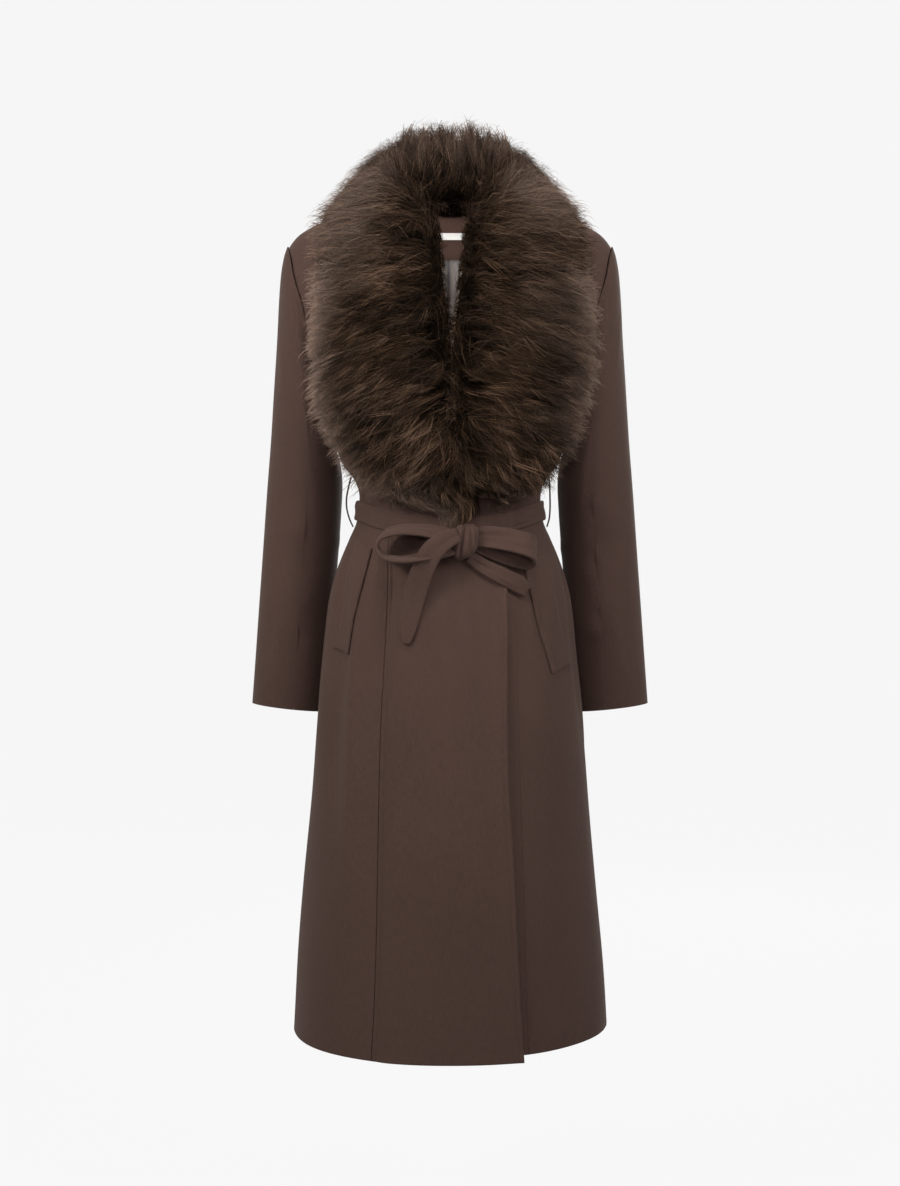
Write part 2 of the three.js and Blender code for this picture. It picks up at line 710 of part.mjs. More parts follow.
function chestGuides(table, outerShare) {
  return table.map((row, i) => {
    const spot = (share, height) => {
      const x = lerp(row.inX, row.outX, share);
      const z = lerp(row.inZ, row.outZ, share);
      return outFrom(frontAngle(x, z), z, height);
    };
    const nearBelt = smoothStep(table.length - 4, table.length - 2, i);
    const room = lerp(chestSeat, beltSeat, nearBelt);
    return {
      seatAngle: frontAngle(row.inX, row.inZ),
      seatZ: row.inZ,
      rimAngle: frontAngle(row.outX, row.outZ),
      rimZ: row.outZ,
      inner: spot(innerShare, room + row.height * innerHeight),
      crown: spot(crownShare, room + row.height),
      outer: spot(outerShare, room + row.height * flareHeight),
      room,
    };
  });
}

function collarSolid(side, chestTable, outerShare) {
  const rows = [...neckGuides(side), ...chestGuides(chestTable, outerShare)];
  const guide = (key) => new THREE.CatmullRomCurve3(rows.map((row) => row[key]), false, "centripetal");
  const guides = { inner: guide("inner"), crown: guide("crown"), outer: guide("outer") };
  const numbers = (key) => {
    const table = rows.map((row, i) => ({ z: i, value: row[key] }));
    return smoothTable(table, "value");
  };
  const seatAngle = numbers("seatAngle");
  const seatZ = numbers("seatZ");
  const rimAngle = numbers("rimAngle");
  const rimZ = numbers("rimZ");
  const room = numbers("room");
  const loops = [];
  for (let k = 0; k <= collarSteps; k += 1) {
    const at = (k / collarSteps) * (rows.length - 1);
    const share = k / collarSteps;
    const below = (t) => {
      const angle = lerp(rimAngle(at), seatAngle(at), t);
      const z = Math.min(lerp(rimZ(at), seatZ(at), t), 0);
      const lift = Math.cos(angle) > 0 ? liftOver(bodyPoint(angle, z).x, z) + collarRoom : 0;
      return outFrom(angle, z, Math.max(room(at), lift));
    };
    const seat = below(1);
    const rim = below(0);
    const over = new THREE.CatmullRomCurve3(
      [seat, guides.inner.getPoint(share), guides.crown.getPoint(share), guides.outer.getPoint(share), rim],
      false,
      "centripetal",
    );
    const loop = [];
    for (let i = 0; i < topPoints; i += 1) loop.push(over.getPoint(i / topPoints));
    for (let i = 0; i < lowPoints; i += 1) loop.push(below(i / lowPoints));
    if (k === 0) for (const point of loop) point.x = side * collarHalfGap;
    loops.push(side > 0 ? loop.reverse() : loop);
  }
  return loftSolid(loops);
}

// Belt and carriers

function beltHeight(angle) {
  const cosine = Math.cos(angle);
  return lerp(belt.sideZ, cosine > 0 ? belt.frontZ : belt.backZ, cosine ** 2);
}

// How far the coat's own layers already stand out below the belt.
function layersBelow(angle, z) {
  if (Math.cos(angle) <= 0) return 0;
  const x = bodyPoint(angle, z).x;
  const pastEdge = x - frontEdgeX(z);
  return liftOver(x, z) * (1 - smoothStep(belt.stepFrom, belt.stepTo, pastEdge));
}

function beltSolid() {
  const { steps, thickness: full, ridgeAt, hollowAt, edgeShare } = belt;
  const loops = Array.from({ length: steps }, (_, k) => {
    const angle = (k / steps) * 2 * Math.PI;
    const middle = beltHeight(angle);
    const ridge = belt.ridge * Math.sin(belt.ridgeTurns * angle + belt.ridgePhase);
    const row = (share, out) => {
      const z = middle + share * belt.halfHeight;
      return outFrom(angle, z, layersBelow(angle, z) + belt.room + out);
    };
    const under = [row(-1, 0), row(0, 0), row(1, 0)];
    const face = [row(ridgeAt, full + ridge), row(hollowAt, full - ridge / 2)];
    return [...under, row(1, full * edgeShare), ...face, row(-1, full * edgeShare)];
  });
  const skin = new Skin();
  const rings = loops.map((loop) => loop.map((point) => skin.add(point)));
  for (let k = 0; k < steps; k += 1) {
    const here = rings[k];
    const next = rings[(k + 1) % steps];
    for (let i = 0; i < here.length; i += 1) {
      const j = (i + 1) % here.length;
      skin.quad(here[i], here[j], next[j], next[i]);
    }
  }
  return skin.geometry();
}

function addCarriers() {
  const steps = 12;
  const across = new THREE.Vector3(0, 1, 0);
  for (const [word, side] of sides) {
    const points = carriers[word].map(({ x, z }) => new THREE.Vector3(x * side, 0, z));
    const path = new THREE.CatmullRomCurve3(points);
    const stations = Array.from({ length: steps + 1 }, (_, k) => {
      const facing = path.getTangent(k / steps).cross(across);
      return { middle: path.getPoint(k / steps), across, half: carrierWidth / 2, facing };
    });
    addPart(`belt_carrier_${word}`, strapSolid(stations, carrierThickness), wool);
  }
}

// Bow

// The place this far in front of the overlapping front, measured square to the cloth.
function frontY(x, z, out) {
  const angle = frontAngle(x, z);
  return bodyPoint(angle, z).y + (overlapLift + out) / bodyNormal(angle, z).y;
}

function knotSolid(grow) {
  const onCoat = frontY(knot.x, knot.z - knot.lowShare * knot.halfHeight, knot.coatRoom);
  const y = Math.min(onCoat, frontY(knot.x, belt.frontZ, knot.beltRoom)) - knot.halfDepth;
  const shape = new THREE.SphereGeometry(1, 16, 10);
  const position = shape.attributes.position;
  for (let i = 0; i < position.count; i += 1) {
    const p = new THREE.Vector3().fromBufferAttribute(position, i);
    const box = (v) => Math.sign(v) * Math.abs(v) ** knot.squareness;
    const pinch = 1 - knot.pinch * Math.cos(p.z * knot.pinchWave);
    const groove = 1 + knot.groove * Math.cos(p.x * knot.grooveWave);
    position.setXYZ(
      i,
      knot.x + box(p.x) * (knot.halfWidth + grow) * pinch,
      y + box(p.y) * (knot.halfDepth + grow) * groove,
      knot.z + box(p.z) * (knot.halfHeight + grow),
    );
  }
  return shape;
}

const wasm = await Module();
wasm.setup();

function manifoldOf(geometry) {
  const bare = geometry.clone();
  bare.deleteAttribute("normal");
  bare.deleteAttribute("uv");
  const merged = mergeVertices(bare, 1e-4);
  return new wasm.Manifold(
    new wasm.Mesh({
      numProp: 3,
      vertProperties: new Float32Array(merged.attributes.position.array),
      triVerts: new Uint32Array(merged.index.array),
    }),
  );
}

function geometryOf(manifold) {
  const mesh = manifold.getMesh();
  const made = new THREE.BufferGeometry();
  made.setAttribute("position", new THREE.Float32BufferAttribute(mesh.vertProperties, mesh.numProp));
  made.setIndex(Array.from(mesh.triVerts));
  return made;
}

// Rows of the bow's straps: middle (x, out from the coat, z), the width's direction and half width.
const bowStraps = {
  belt_loop_right: [
    { x: 12, out: 15, z: -447, across: [0, 0.5, 0.85], half: 9 },
    { x: -6, out: 20, z: -441, across: [0, 0.75, 0.65], half: 13 },
    { x: -35, out: 25, z: -434, across: [0, 0.9, 0.4], half: 15 },
    { x: -66, out: 26, z: -434, across: [0, 0.93, 0.35], half: 16 },
    { x: -84, out: 26, z: -441, across: [0.1, 0.93, 0.3], half: 16 },
    { x: -90, out: 26, z: -453, across: [0, 0.95, 0.25], half: 16 },
    { x: -83, out: 26, z: -465, across: [-0.1, 0.95, 0.2], half: 16 },
    { x: -62, out: 26, z: -470, across: [0, 0.95, 0.2], half: 15 },
    { x: -35, out: 24, z: -467, across: [0, 0.9, 0.3], half: 14 },
    { x: -6, out: 20, z: -460, across: [0, 0.7, 0.6], half: 11 },
    { x: 12, out: 15, z: -455, across: [0, 0.5, 0.8], half: 8 },
  ],
  belt_loop_left: [
    { x: 26, out: 11, z: -446, across: [0, 0.1, 1], half: 12 },
    { x: 42, out: 16, z: -446, across: [0, 0.2, 1], half: 15 },
    { x: 68, out: 21, z: -451, across: [-0.1, 0.3, 1], half: 18 },
    { x: 90, out: 23, z: -457, across: [-0.15, 0.35, 1], half: 20 },
    { x: 102, out: 20, z: -461, across: [-0.2, 0.3, 1], half: 20.5 },
    { x: 106, out: 15, z: -462, across: [-0.15, 0.3, 1], half: 20 },
    { x: 97, out: 10, z: -461, across: [-0.1, 0.3, 1], half: 18 },
    { x: 70, out: 8, z: -457, across: [0, 0.3, 1], half: 15 },
    { x: 44, out: 8, z: -452, across: [0, 0.3, 1], half: 12 },
    { x: 27, out: 9, z: -449, across: [0, 0.3, 1], half: 9 },
  ],
};

function bowSolid(rows) {
  const place = (row) => new THREE.Vector3(row.x, frontY(row.x, row.z, row.out), row.z);
  const path = new THREE.CatmullRomCurve3(rows.map(place), false, "centripetal");
  const width = new THREE.CatmullRomCurve3(rows.map((row) => new THREE.Vector3(...row.across)));
  const half = smoothTable(rows.map((row, i) => ({ z: i, half: row.half })), "half");
  const steps = 2 * (rows.length - 1);
  const stations = Array.from({ length: steps + 1 }, (_, k) => {
    const along = path.getTangent(k / steps);
    const across = width.getPoint(k / steps).normalize();
    return {
      middle: path.getPoint(k / steps),
      across,
      half: half((k / steps) * (rows.length - 1)),
      facing: along.clone().cross(across),
    };
  });
  return strapSolid(stations, strapThickness);
}

// Free ends of the belt, lying on the skirt: middle, half width; the last rows make the slanted tip.
const beltTails = {
  belt_tail_right: [
    { x: 12, out: 5, z: -458, half: 8 },
    { x: -4, out: 5.5, z: -469, half: 10 },
    { x: -19, out: 5.5, z: -487, half: 12 },
    { x: -32, out: 5, z: -514, half: 13.5 },
    { x: -40, out: 5, z: -545, half: 13.5 },
    { x: -45, out: 4.5, z: -572, half: 8 },
    { x: -48, out: 4.5, z: -584, half: 2.5 },
  ],
  belt_tail_left: [
    { x: 24, out: 5, z: -466, half: 8 },
    { x: 41, out: 4.8, z: -478, half: 9.5 },
    { x: 62, out: 4.8, z: -489, half: 10.5 },
    { x: 84, out: 5.2, z: -500, half: 11 },
    { x: 96, out: 5.2, z: -508, half: 9 },
  ],
};

function tailSolid(rows) {
  const place = (row) => new THREE.Vector3(row.x, frontY(row.x, row.z, row.out), row.z);
  const path = new THREE.CatmullRomCurve3(rows.map(place), false, "centripetal");
  const half = smoothTable(rows.map((row, i) => ({ z: i, half: row.half })), "half");
  const steps = 2 * (rows.length - 1);
  const stations = Array.from({ length: steps + 1 }, (_, k) => {
    const along = path.getTangent(k / steps);
    const facing = new THREE.Vector3(0, -1, 0).addScaledVector(along, along.y).normalize();
    return {
      middle: path.getPoint(k / steps),
      across: facing.clone().cross(along),
      half: half((k / steps) * (rows.length - 1)),
      facing,
    };
  });
  return strapSolid(stations, strapThickness);
}

function addBow() {
  addPart("belt_knot", geometryOf(manifoldOf(knotSolid(0))), wool);
  const hollow = manifoldOf(knotSolid(knot.strapRoom));
  for (const [name, rows] of Object.entries(bowStraps)) {
    addPart(name, geometryOf(manifoldOf(bowSolid(rows)).subtract(hollow)), wool);
  }
  for (const [name, rows] of Object.entries(beltTails)) {
    addPart(name, geometryOf(manifoldOf(tailSolid(rows)).subtract(hollow)), wool);
  }
}

addFronts();
addBack();
addLabel();
addSleeves();
addPart("pocket_welt_right", weltSolid(welts.right, -1), wool);
addPart("pocket_welt_left", weltSolid(welts.left, 1), wool);
addPart("fur_collar_right", collarSolid(-1, rightChestRows, flare.right), fur);
addPart("fur_collar_left", collarSolid(1, leftChestRows, flare.left), fur);
addPart("belt_band", beltSolid(), wool);
addCarriers();
addBow();

export default parts;
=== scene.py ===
import bpy
import numpy as np
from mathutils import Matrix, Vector, kdtree


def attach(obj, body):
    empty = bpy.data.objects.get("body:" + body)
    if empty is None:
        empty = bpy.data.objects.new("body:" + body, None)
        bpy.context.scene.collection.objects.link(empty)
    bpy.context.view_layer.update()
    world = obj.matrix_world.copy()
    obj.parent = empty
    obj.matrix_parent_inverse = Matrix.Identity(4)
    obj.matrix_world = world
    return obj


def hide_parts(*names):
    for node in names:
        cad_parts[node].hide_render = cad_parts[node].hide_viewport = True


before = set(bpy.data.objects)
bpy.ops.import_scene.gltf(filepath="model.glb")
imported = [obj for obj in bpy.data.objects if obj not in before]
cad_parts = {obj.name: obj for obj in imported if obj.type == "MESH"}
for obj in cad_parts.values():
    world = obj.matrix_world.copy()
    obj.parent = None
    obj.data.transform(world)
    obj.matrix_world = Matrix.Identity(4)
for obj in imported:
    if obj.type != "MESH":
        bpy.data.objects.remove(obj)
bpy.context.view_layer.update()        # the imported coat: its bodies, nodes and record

# Sizes are in millimetres, in the coat's own frame: +Z up, -Y the front, +X the wearer's left.
# Meshes are turned into metres when they are made.
metre = 0.001

camera = {"distance": 2500, "height": -511, "lens": 58.37, "sensor": 36}

coat = {
    "thickness": 2.5, "seamGap": 0.3, "hemZ": -1080, "underHemRise": 8,
    "overlapLift": 3.8, "overlapRamp": 22, "edgeStand": 2.8,
    "sideHemRise": 6, "hemRiseFrom": -900, "backNeckRise": 12, "neckRiseFrom": -110,
    "rowSpacing": 7.5, "columnSpacing": 7.5, "shoulderSpacing": 6.5,
    "degreeLength": 2.7,  # cloth for a degree round the coat
    "creaseGain": (1.6, 2.6), "sway": 0.9,  # creases above and below the belt, and the skirt's unevenness
    # height, half width, depth in front, depth behind, exponent of the outline
    "girths": [
        (-1080, 203, 185, 165, 2.1), (-988, 197.5, 177, 159, 2.1), (-884, 188.5, 168, 152, 2.15),
        (-780, 179, 158, 145, 2.15), (-666, 170, 148, 139, 2.2), (-581, 160.5, 140, 133, 2.2),
        (-524, 154.5, 134, 127, 2.2), (-494, 148.5, 129, 121, 2.2), (-468, 140.5, 123, 113, 2.15),
        (-442, 131, 116, 104, 2.1), (-420, 121.5, 110, 96, 2.1), (-404, 118, 107, 92, 2.1),
        (-385, 117.5, 107, 92, 2.1), (-368, 122, 110, 95, 2.1), (-346, 138, 118, 100, 2.1),
        (-306, 154, 126, 106, 2.1), (-278, 162, 130, 110, 2.1), (-250, 169, 132, 112, 2),
        (-204, 189, 128, 113, 2), (-152, 209, 115, 110, 2), (-106, 221, 101, 104, 2),
        (-75, 215, 90, 96, 2), (-60, 207, 84, 90, 2), (-48, 197, 78, 85, 2), (-38, 181, 73, 80, 2),
        (-28, 159, 68, 76, 2), (-18, 132, 63, 72, 2), (-8, 104, 58, 67, 2), (0, 74, 52, 62, 2),
    ],
    # cut lines down the front: height, distance from the centre
    "frontEdge": [
        (-1080, 88), (-970, 82), (-850, 77), (-740, 71.5), (-600, 70), (-490, 68), (-436, 66), (-404, 60),
        (-375, 40), (-346, 10), (-300, -25), (-250, -42), (-150, -52), (-60, -60), (0, -68),
    ],
    "underEdge": [
        (-1080, -48), (-436, -44), (-404, -42), (-375, -34), (-346, -8), (-300, 25), (-250, 42),
        (-150, 52), (-60, 60), (0, 68),
    ],
    "panelSeam": [
        (-1080, 96), (-991, 92), (-840, 89), (-705, 86), (-577, 82), (-455, 77), (-404, 75), (-346, 80),
        (-250, 88), (-150, 92), (-60, 92), (-20, 88), (-8, 84), (0, 71),
    ],
    # long folds: degrees from the front centre at the top and at the hem, width, depth, top, low end
    "folds": [
        (-47, -40, 5, 3.4, -455, -960), (-58, -54, 6, -3, -455, -900), (-76, -70, 7, 2.5, -450, -800),
        (69, 66, 6, 2.2, -445, -720), (78, 75, 5, -2.4, -445, -760), (10, 14, 6.5, -4.6, -456, -790),
        (-12, -16, 5.5, 3.4, -456, -720), (23, 27, 5, 3.2, -454, -650), (-27, -31, 5.5, -3.4, -456, -700),
        (128, 132, 8, 4, -430, -1080), (152, 150, 8, -4, -430, -1080), (206, 208, 9, -4, -430, -1080),
        (232, 228, 8, 4, -430, -1080), (-63, -60, 5, 3.5, -300, -400), (62, 60, 5, 3.5, -300, -400),
        (140, 143, 7, 3.5, -280, -396), (219, 216, 7, 3.5, -280, -396),
    ],
    # creases: degrees and height at each end, width, depth, sideways bow
    "creases": [
        (-50, -372, -38, -404, 5, -2.0, 3), (-42, -366, -29, -402, 5, 1.8, 2),
        (-33, -374, -22, -405, 4, -1.8, 2), (-25, -380, -14, -404, 4, 1.2, 1),
        (-62, -362, -54, -398, 6, 1.6, 2), (-71, -366, -67, -398, 5, -1.4, 1),
        (44, -366, 27, -396, 5, -2.0, 3), (36, -362, 22, -392, 5, 1.6, 2), (56, -358, 40, -394, 6, -1.6, 2),
        (66, -364, 56, -398, 5, 1.5, 1), (74, -368, 72, -396, 5, -1.3, 0), (3, -462, 4, -590, 7, -1.3, 2),
        (-9, -462, -12, -560, 8, 0.9, -3), (19, -470, 22, -620, 8, -1.0, 3),
        (-24, -460, -27, -575, 7, -0.9, 2), (-66, -450, -62, -570, 7, -1.6, 3),
        (-38, -452, -36, -545, 6, 0.8, 0), (45, -470, 43, -600, 7, -0.9, 2),
        (56, -455, 55, -560, 6, 0.9, 2), (85, -455, 88, -700, 9, 1.4, -4),
        (-88, -455, -92, -690, 9, 1.5, 4), (112, -430, 116, -640, 9, -1.8, 4),
        (141, -432, 143, -700, 9, -1.6, -5), (167, -430, 166, -610, 8, 1.5, 3),
        (183, -428, 184, -730, 10, -1.3, 4), (197, -430, 199, -590, 8, 1.3, -3),
        (219, -432, 216, -690, 9, 1.6, 5), (246, -430, 243, -650, 9, -1.7, -4),
        (118, -300, 126, -392, 7, 1.8, 3), (160, -290, 156, -394, 8, -1.8, -4),
        (181, -310, 180, -392, 7, 1.3, 2), (201, -292, 205, -393, 8, 1.7, 4),
        (240, -300, 233, -392, 7, -1.8, 3), (100, -250, 126, -205, 8, 1.4, 5),
        (258, -255, 233, -208, 8, 1.4, -5), (120, -120, 160, -96, 11, 1.0, 4),
        (240, -118, 200, -94, 11, 1.0, -4), (76, -262, 58, -214, 7, -1.2, 4),
        (-76, -262, -58, -214, 7, -1.2, 4),
    ],
}
armhole = {"topZ": -62, "bottomZ": -250, "frontReach": 52, "backReach": 56, "step": 3.75}
sides = {"right": -1, "left": 1}

seam = {
    "radius": 1.1, "stitchLine": 6,  # how far an edge is rounded, and how far its stitches are from it
    "shape": [(-0.6, 6, 0.9), (0.8, 3, 1.7)],  # the groove and the ridge there: depth, place, width
    "mostOfPanel": 0.42,  # the share of a narrow panel that one edge takes at most
}
# the distances from an edge where a cloth has its outermost points
plainEdge = [0, 0.4, 1.1, 3.4]
stitchedEdge = [0, 0.4, 1.1, 2.6, 4.4, 5.2, 6, 6.8, 8.4]



# Curves

def smooth(rows, column=1):
    # A smooth function through a table's rows, which neither overshoots nor waves between them.
    ordered = sorted(rows)
    z = np.array([row[0] for row in ordered], float)
    value = np.array([row[column] for row in ordered], float)
    slope = np.diff(value) / np.diff(z)
    tangent = np.concatenate([slope[:1], np.zeros(len(z) - 2), slope[-1:]])
    product = slope[:-1] * slope[1:]
    bends = product > 0
    tangent[1:-1][bends] = 2 * product[bends] / (slope[:-1] + slope[1:])[bends]

    def at(height):
        here = np.clip(height, z[0], z[-1])
        i = np.clip(np.searchsorted(z, here, side="right") - 1, 0, len(z) - 2)
        span = z[i + 1] - z[i]
        t = (here - z[i]) / span
        ends = value[i] * (1 + 2 * t) * (1 - t) ** 2 + value[i + 1] * t * t * (3 - 2 * t)
        return ends + span * t * (1 - t) * (tangent[i] * (1 - t) - tangent[i + 1] * t)

    return at


def ease(low, high, at):
    t = np.clip((np.asarray(at, float) - low) / (high - low), 0, 1)
    return t * t * (3 - 2 * t)


def lerp(a, b, t):
    return a + (b - a) * t


def unit(v):
    return v / np.maximum(np.linalg.norm(v, axis=-1, keepdims=True), 1e-12)


def curveThrough(points, t):
    # A centripetal curve through points (n, m, 3), one place on each of the m curves.
    points = np.asarray(points, float)
    points = np.concatenate([[2 * points[0] - points[1]], points, [2 * points[-1] - points[-2]]])
    spans = len(points) - 3
    place = np.clip(np.asarray(t, float), 0, 1) * spans
    i = np.minimum(place.astype(int), spans - 1)
    w = (place - i)[:, None]
    m = np.arange(points.shape[1])
    p0, p1, p2, p3 = (points[i + k, m] for k in range(4))
    gap = [np.sqrt(np.linalg.norm(b - a, axis=-1))[:, None] for a, b in ((p0, p1), (p1, p2), (p2, p3))]
    gap[1] = np.where(gap[1] < 1e-4, 1.0, gap[1])
    gap[0] = np.where(gap[0] < 1e-4, gap[1], gap[0])
    gap[2] = np.where(gap[2] < 1e-4, gap[1], gap[2])
    t1 = gap[1] * ((p1 - p0) / gap[0] - (p2 - p0) / (gap[0] + gap[1]) + (p2 - p1) / gap[1])
    t2 = gap[1] * ((p2 - p1) / gap[1] - (p3 - p1) / (gap[1] + gap[2]) + (p3 - p2) / gap[2])
    return p1 + t1 * w + (-3 * p1 + 3 * p2 - 2 * t1 - t2) * w**2 + (2 * p1 - 2 * p2 + t1 + t2) * w**3


def curveAlong(points, t):
    # One curve through points (n, 3), at many places.
    points = np.asarray(points, float)
    return curveThrough(np.repeat(points[:, None], len(t), axis=1), t)


def creaseDepth(u, v, rows, aroundU=None):
    # Soft troughs and ridges: each runs from one place to another, deepest in its middle.
    depth = np.zeros(np.broadcast(u, v).shape)
    for u0, v0, u1, v1, width, high, bow in rows:
        along = np.array([u1 - u0, v1 - v0], float)
        length = np.hypot(*along)
        du = u - u0
        if aroundU:
            middle = (u1 - u0) / 2
            du = (du - middle + aroundU / 2) % aroundU - aroundU / 2 + middle
        dv = v - v0
        t = (du * along[0] + dv * along[1]) / length**2
        side = (du * along[1] - dv * along[0]) / length
        side = side - bow * np.sin(np.pi * np.clip(t, 0, 1))
        past = np.maximum(np.maximum(-t, t - 1), 0) * length
        taper = np.sin(np.pi * np.clip(t * 0.9 + 0.05, 0, 1)) ** 0.8
        depth = depth + high * taper * np.exp(-((side / width) ** 2) - (past / width) ** 2)
    return depth


# The coat's surface

halfWidthAt, frontAt, backAt, squareAt = (smooth(coat["girths"], k) for k in (1, 2, 3, 4))
frontEdgeX = smooth(coat["frontEdge"])
underEdgeX = smooth(coat["underEdge"])
panelSeamX = smooth(coat["panelSeam"])


def foldDepth(angle, z):
    degrees = np.degrees(angle)
    depth = np.zeros(np.broadcast(angle, z).shape)
    for topAngle, hemAngle, width, high, top, low in coat["folds"]:
        share = np.clip((top - z) / (top - low), 0, 1)
        away = (degrees - lerp(topAngle, hemAngle, share) + 180) % 360 - 180
        fade = ease(0, 0.18, share) * (1 if low <= coat["hemZ"] else ease(0, 0.5, 1 - share))
        depth = depth + high * fade * np.exp(-((away / width) ** 2))
    return depth


def bodyPoint(angle, z):
    angle, z = np.broadcast_arrays(np.asarray(angle, float), np.asarray(z, float))
    power = 2 / squareAt(z)
    sine, cosine = np.sin(angle), np.cos(angle)
    depth = np.where(cosine > 0, frontAt(z), backAt(z))
    out = 1 + foldDepth(angle, z) / depth
    neckRise = np.where(cosine < 0, coat["backNeckRise"] * cosine**2 * ease(coat["neckRiseFrom"], 0, z), 0)
    hemRise = coat["sideHemRise"] * sine**4 * (1 - ease(coat["hemZ"], coat["hemRiseFrom"], z))
    x = halfWidthAt(z) * out * np.sign(sine) * np.abs(sine) ** power
    y = -depth * out * np.sign(cosine) * np.abs(cosine) ** power
    return np.stack([x, y, z + neckRise + hemRise], axis=-1)


def bodyNormal(angle, z):
    turn, climb = 0.004, 0.6
    high, low = np.minimum(z + climb, 0), np.maximum(z - climb, coat["hemZ"])
    across = bodyPoint(angle + turn, z) - bodyPoint(angle - turn, z)
    up = bodyPoint(angle, high) - bodyPoint(angle, low)
    return unit(np.cross(across, up))


def outFrom(angle, z, offset):
    return bodyPoint(angle, z) + bodyNormal(angle, z) * np.asarray(offset, float)[..., None]


def frontAngle(x, z):
    share = np.minimum(np.abs(x) / halfWidthAt(z), 1)
    return np.sign(x) * np.arcsin(share ** (squareAt(z) / 2))


def backAngle(x, z):
    return np.pi - frontAngle(x, z)


armMiddle = (armhole["topZ"] + armhole["bottomZ"]) / 2
armHalf = (armhole["topZ"] - armhole["bottomZ"]) / 2


def armholeAngle(z, onFront):
    share = (z - armMiddle) / armHalf
    oval = np.sqrt(np.maximum(1 - share**2, 0))
    reach = np.where(onFront, armhole["frontReach"], armhole["backReach"]) * oval
    depth = np.where(onFront, frontAt(z), backAt(z))
    turn = np.arcsin((reach / depth) ** (squareAt(z) / 2))
    return np.pi / 2 + np.where(onFront, -turn, turn)


def liftOver(x, z):
    seam = panelSeamX(z)
    return coat["overlapLift"] * ease(-seam, -seam + coat["overlapRamp"], x)


def onCloth(creases, degreeLength):
    # Creases' ends from degrees to the length of cloth.
    return [(a0 * degreeLength, v0, a1 * degreeLength, v1, *rest) for a0, v0, a1, v1, *rest in creases]


def bodyCreases(angle, z):
    degree = coat["degreeLength"]
    crease = creaseDepth(np.degrees(angle) * degree, z, onCloth(coat["creases"], degree), 360 * degree)
    below = ease(-440, -620, z)  # a slow unevenness of the hanging skirt
    wave = np.sin(5 * angle + z / 190) + 0.7 * np.sin(9 * angle - z / 120 + 1.3)
    wave = wave + 0.5 * np.sin(z / 47 + 3 * angle)
    return crease * lerp(*coat["creaseGain"], ease(-430, -480, z)) + below * coat["sway"] * wave



# Meshes

def makePiece(name, points, faces, material):
    mesh = bpy.data.meshes.new(name)
    mesh.from_pydata((np.asarray(points, float).reshape(-1, 3) * metre).tolist(), [], faces)
    mesh.polygons.foreach_set("use_smooth", np.ones(len(mesh.polygons), bool))
    mesh.materials.append(material)
    mesh.update()
    piece = bpy.data.objects.new(name, mesh)
    bpy.context.scene.collection.objects.link(piece)
    return piece


def quads(a, b, c, d):
    return np.stack([a, b, c, d], axis=-1).reshape(-1, 4)


def wallPiece(name, outer, inner, material):
    # A wall of cloth between two grids. Columns run anticlockwise as seen from above.
    rows, columns = outer.shape[:2]
    o = np.arange(rows * columns).reshape(rows, columns)
    n = o + rows * columns
    faces = np.concatenate([
        quads(o[:-1, :-1], o[:-1, 1:], o[1:, 1:], o[1:, :-1]),
        quads(n[:-1, 1:], n[:-1, :-1], n[1:, :-1], n[1:, 1:]),
        quads(n[:-1, 0], o[:-1, 0], o[1:, 0], n[1:, 0]),
        quads(n[:-1, -1], n[1:, -1], o[1:, -1], o[:-1, -1]),
        quads(n[0, :-1], n[0, 1:], o[0, 1:], o[0, :-1]),
        quads(o[-1, :-1], o[-1, 1:], n[-1, 1:], n[-1, :-1]),
    ])
    points = np.concatenate([outer.reshape(-1, 3), inner.reshape(-1, 3)])
    return makePiece(name, points, faces.tolist(), material)


def loftPiece(name, loops, material, closed=False):
    # A body through loops of points (stations, points, 3), with flat ends unless it closes on itself.
    count, size = loops.shape[:2]
    points = loops.reshape(-1, 3)
    index = np.arange(count * size).reshape(count, size)
    following = np.roll(index, -1, axis=0) if closed else index[1:]
    here = index if closed else index[:-1]
    faces = quads(here, np.roll(here, -1, 1), np.roll(following, -1, 1), following).tolist()
    if not closed:
        points = np.concatenate([points, loops[:1].mean(1), loops[-1:].mean(1)])
        first, last = count * size, count * size + 1
        ends = zip(index[0], np.roll(index[0], -1), index[-1], np.roll(index[-1], -1))
        faces += [face for a, b, c, d in ends for face in ([first, int(b), int(a)], [last, int(c), int(d)])]
    return makePiece(name, points, faces, material)


def settle(piece, part):
    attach(piece, "root")
    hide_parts(part)
    return piece


def roundOff(distance, radius=seam["radius"]):
    share = np.clip(1 - distance / radius, 0, 1)
    return -radius * (1 - np.sqrt(1 - share**2))


def stitchGroove(distance):
    return sum(high * np.exp(-(((distance - place) / wide) ** 2)) for high, place, wide in seam["shape"])


def spaced(length, first, last, spacing):
    # Places from 0 to length: close together at both ends, evenly spaced between.
    first, last = np.array(first, float), length - np.array(last[::-1], float)
    count = max(int((last[0] - first[-1]) / spacing), 1)
    middle = np.linspace(first[-1], last[0], count + 1)[1:-1]
    return np.concatenate([first, middle, last])


def feed(tree, made, inputs):
    for key, value in inputs.items():
        if isinstance(value, bpy.types.NodeSocket):
            tree.links.new(value, made.inputs[key])
        else:
            made.inputs[key].default_value = value
    return made


def node(tree, kind, inputs=None, **settings):
    made = tree.nodes.new(kind)
    for key, value in settings.items():
        setattr(made, key, value)
    return feed(tree, made, inputs or {})


def noise(tree, place, scale, detail, roughness=0.5):
    inputs = {"Vector": place, "Scale": scale, "Detail": detail, "Roughness": roughness}
    return node(tree, "ShaderNodeTexNoise", inputs).outputs[0]


def stretched(tree, place, share):
    # The same place with its height shortened, so that a noise runs downwards.
    return node(tree, "ShaderNodeMapping", {"Vector": place, "Scale": (1.0, 1.0, share)}).outputs[0]


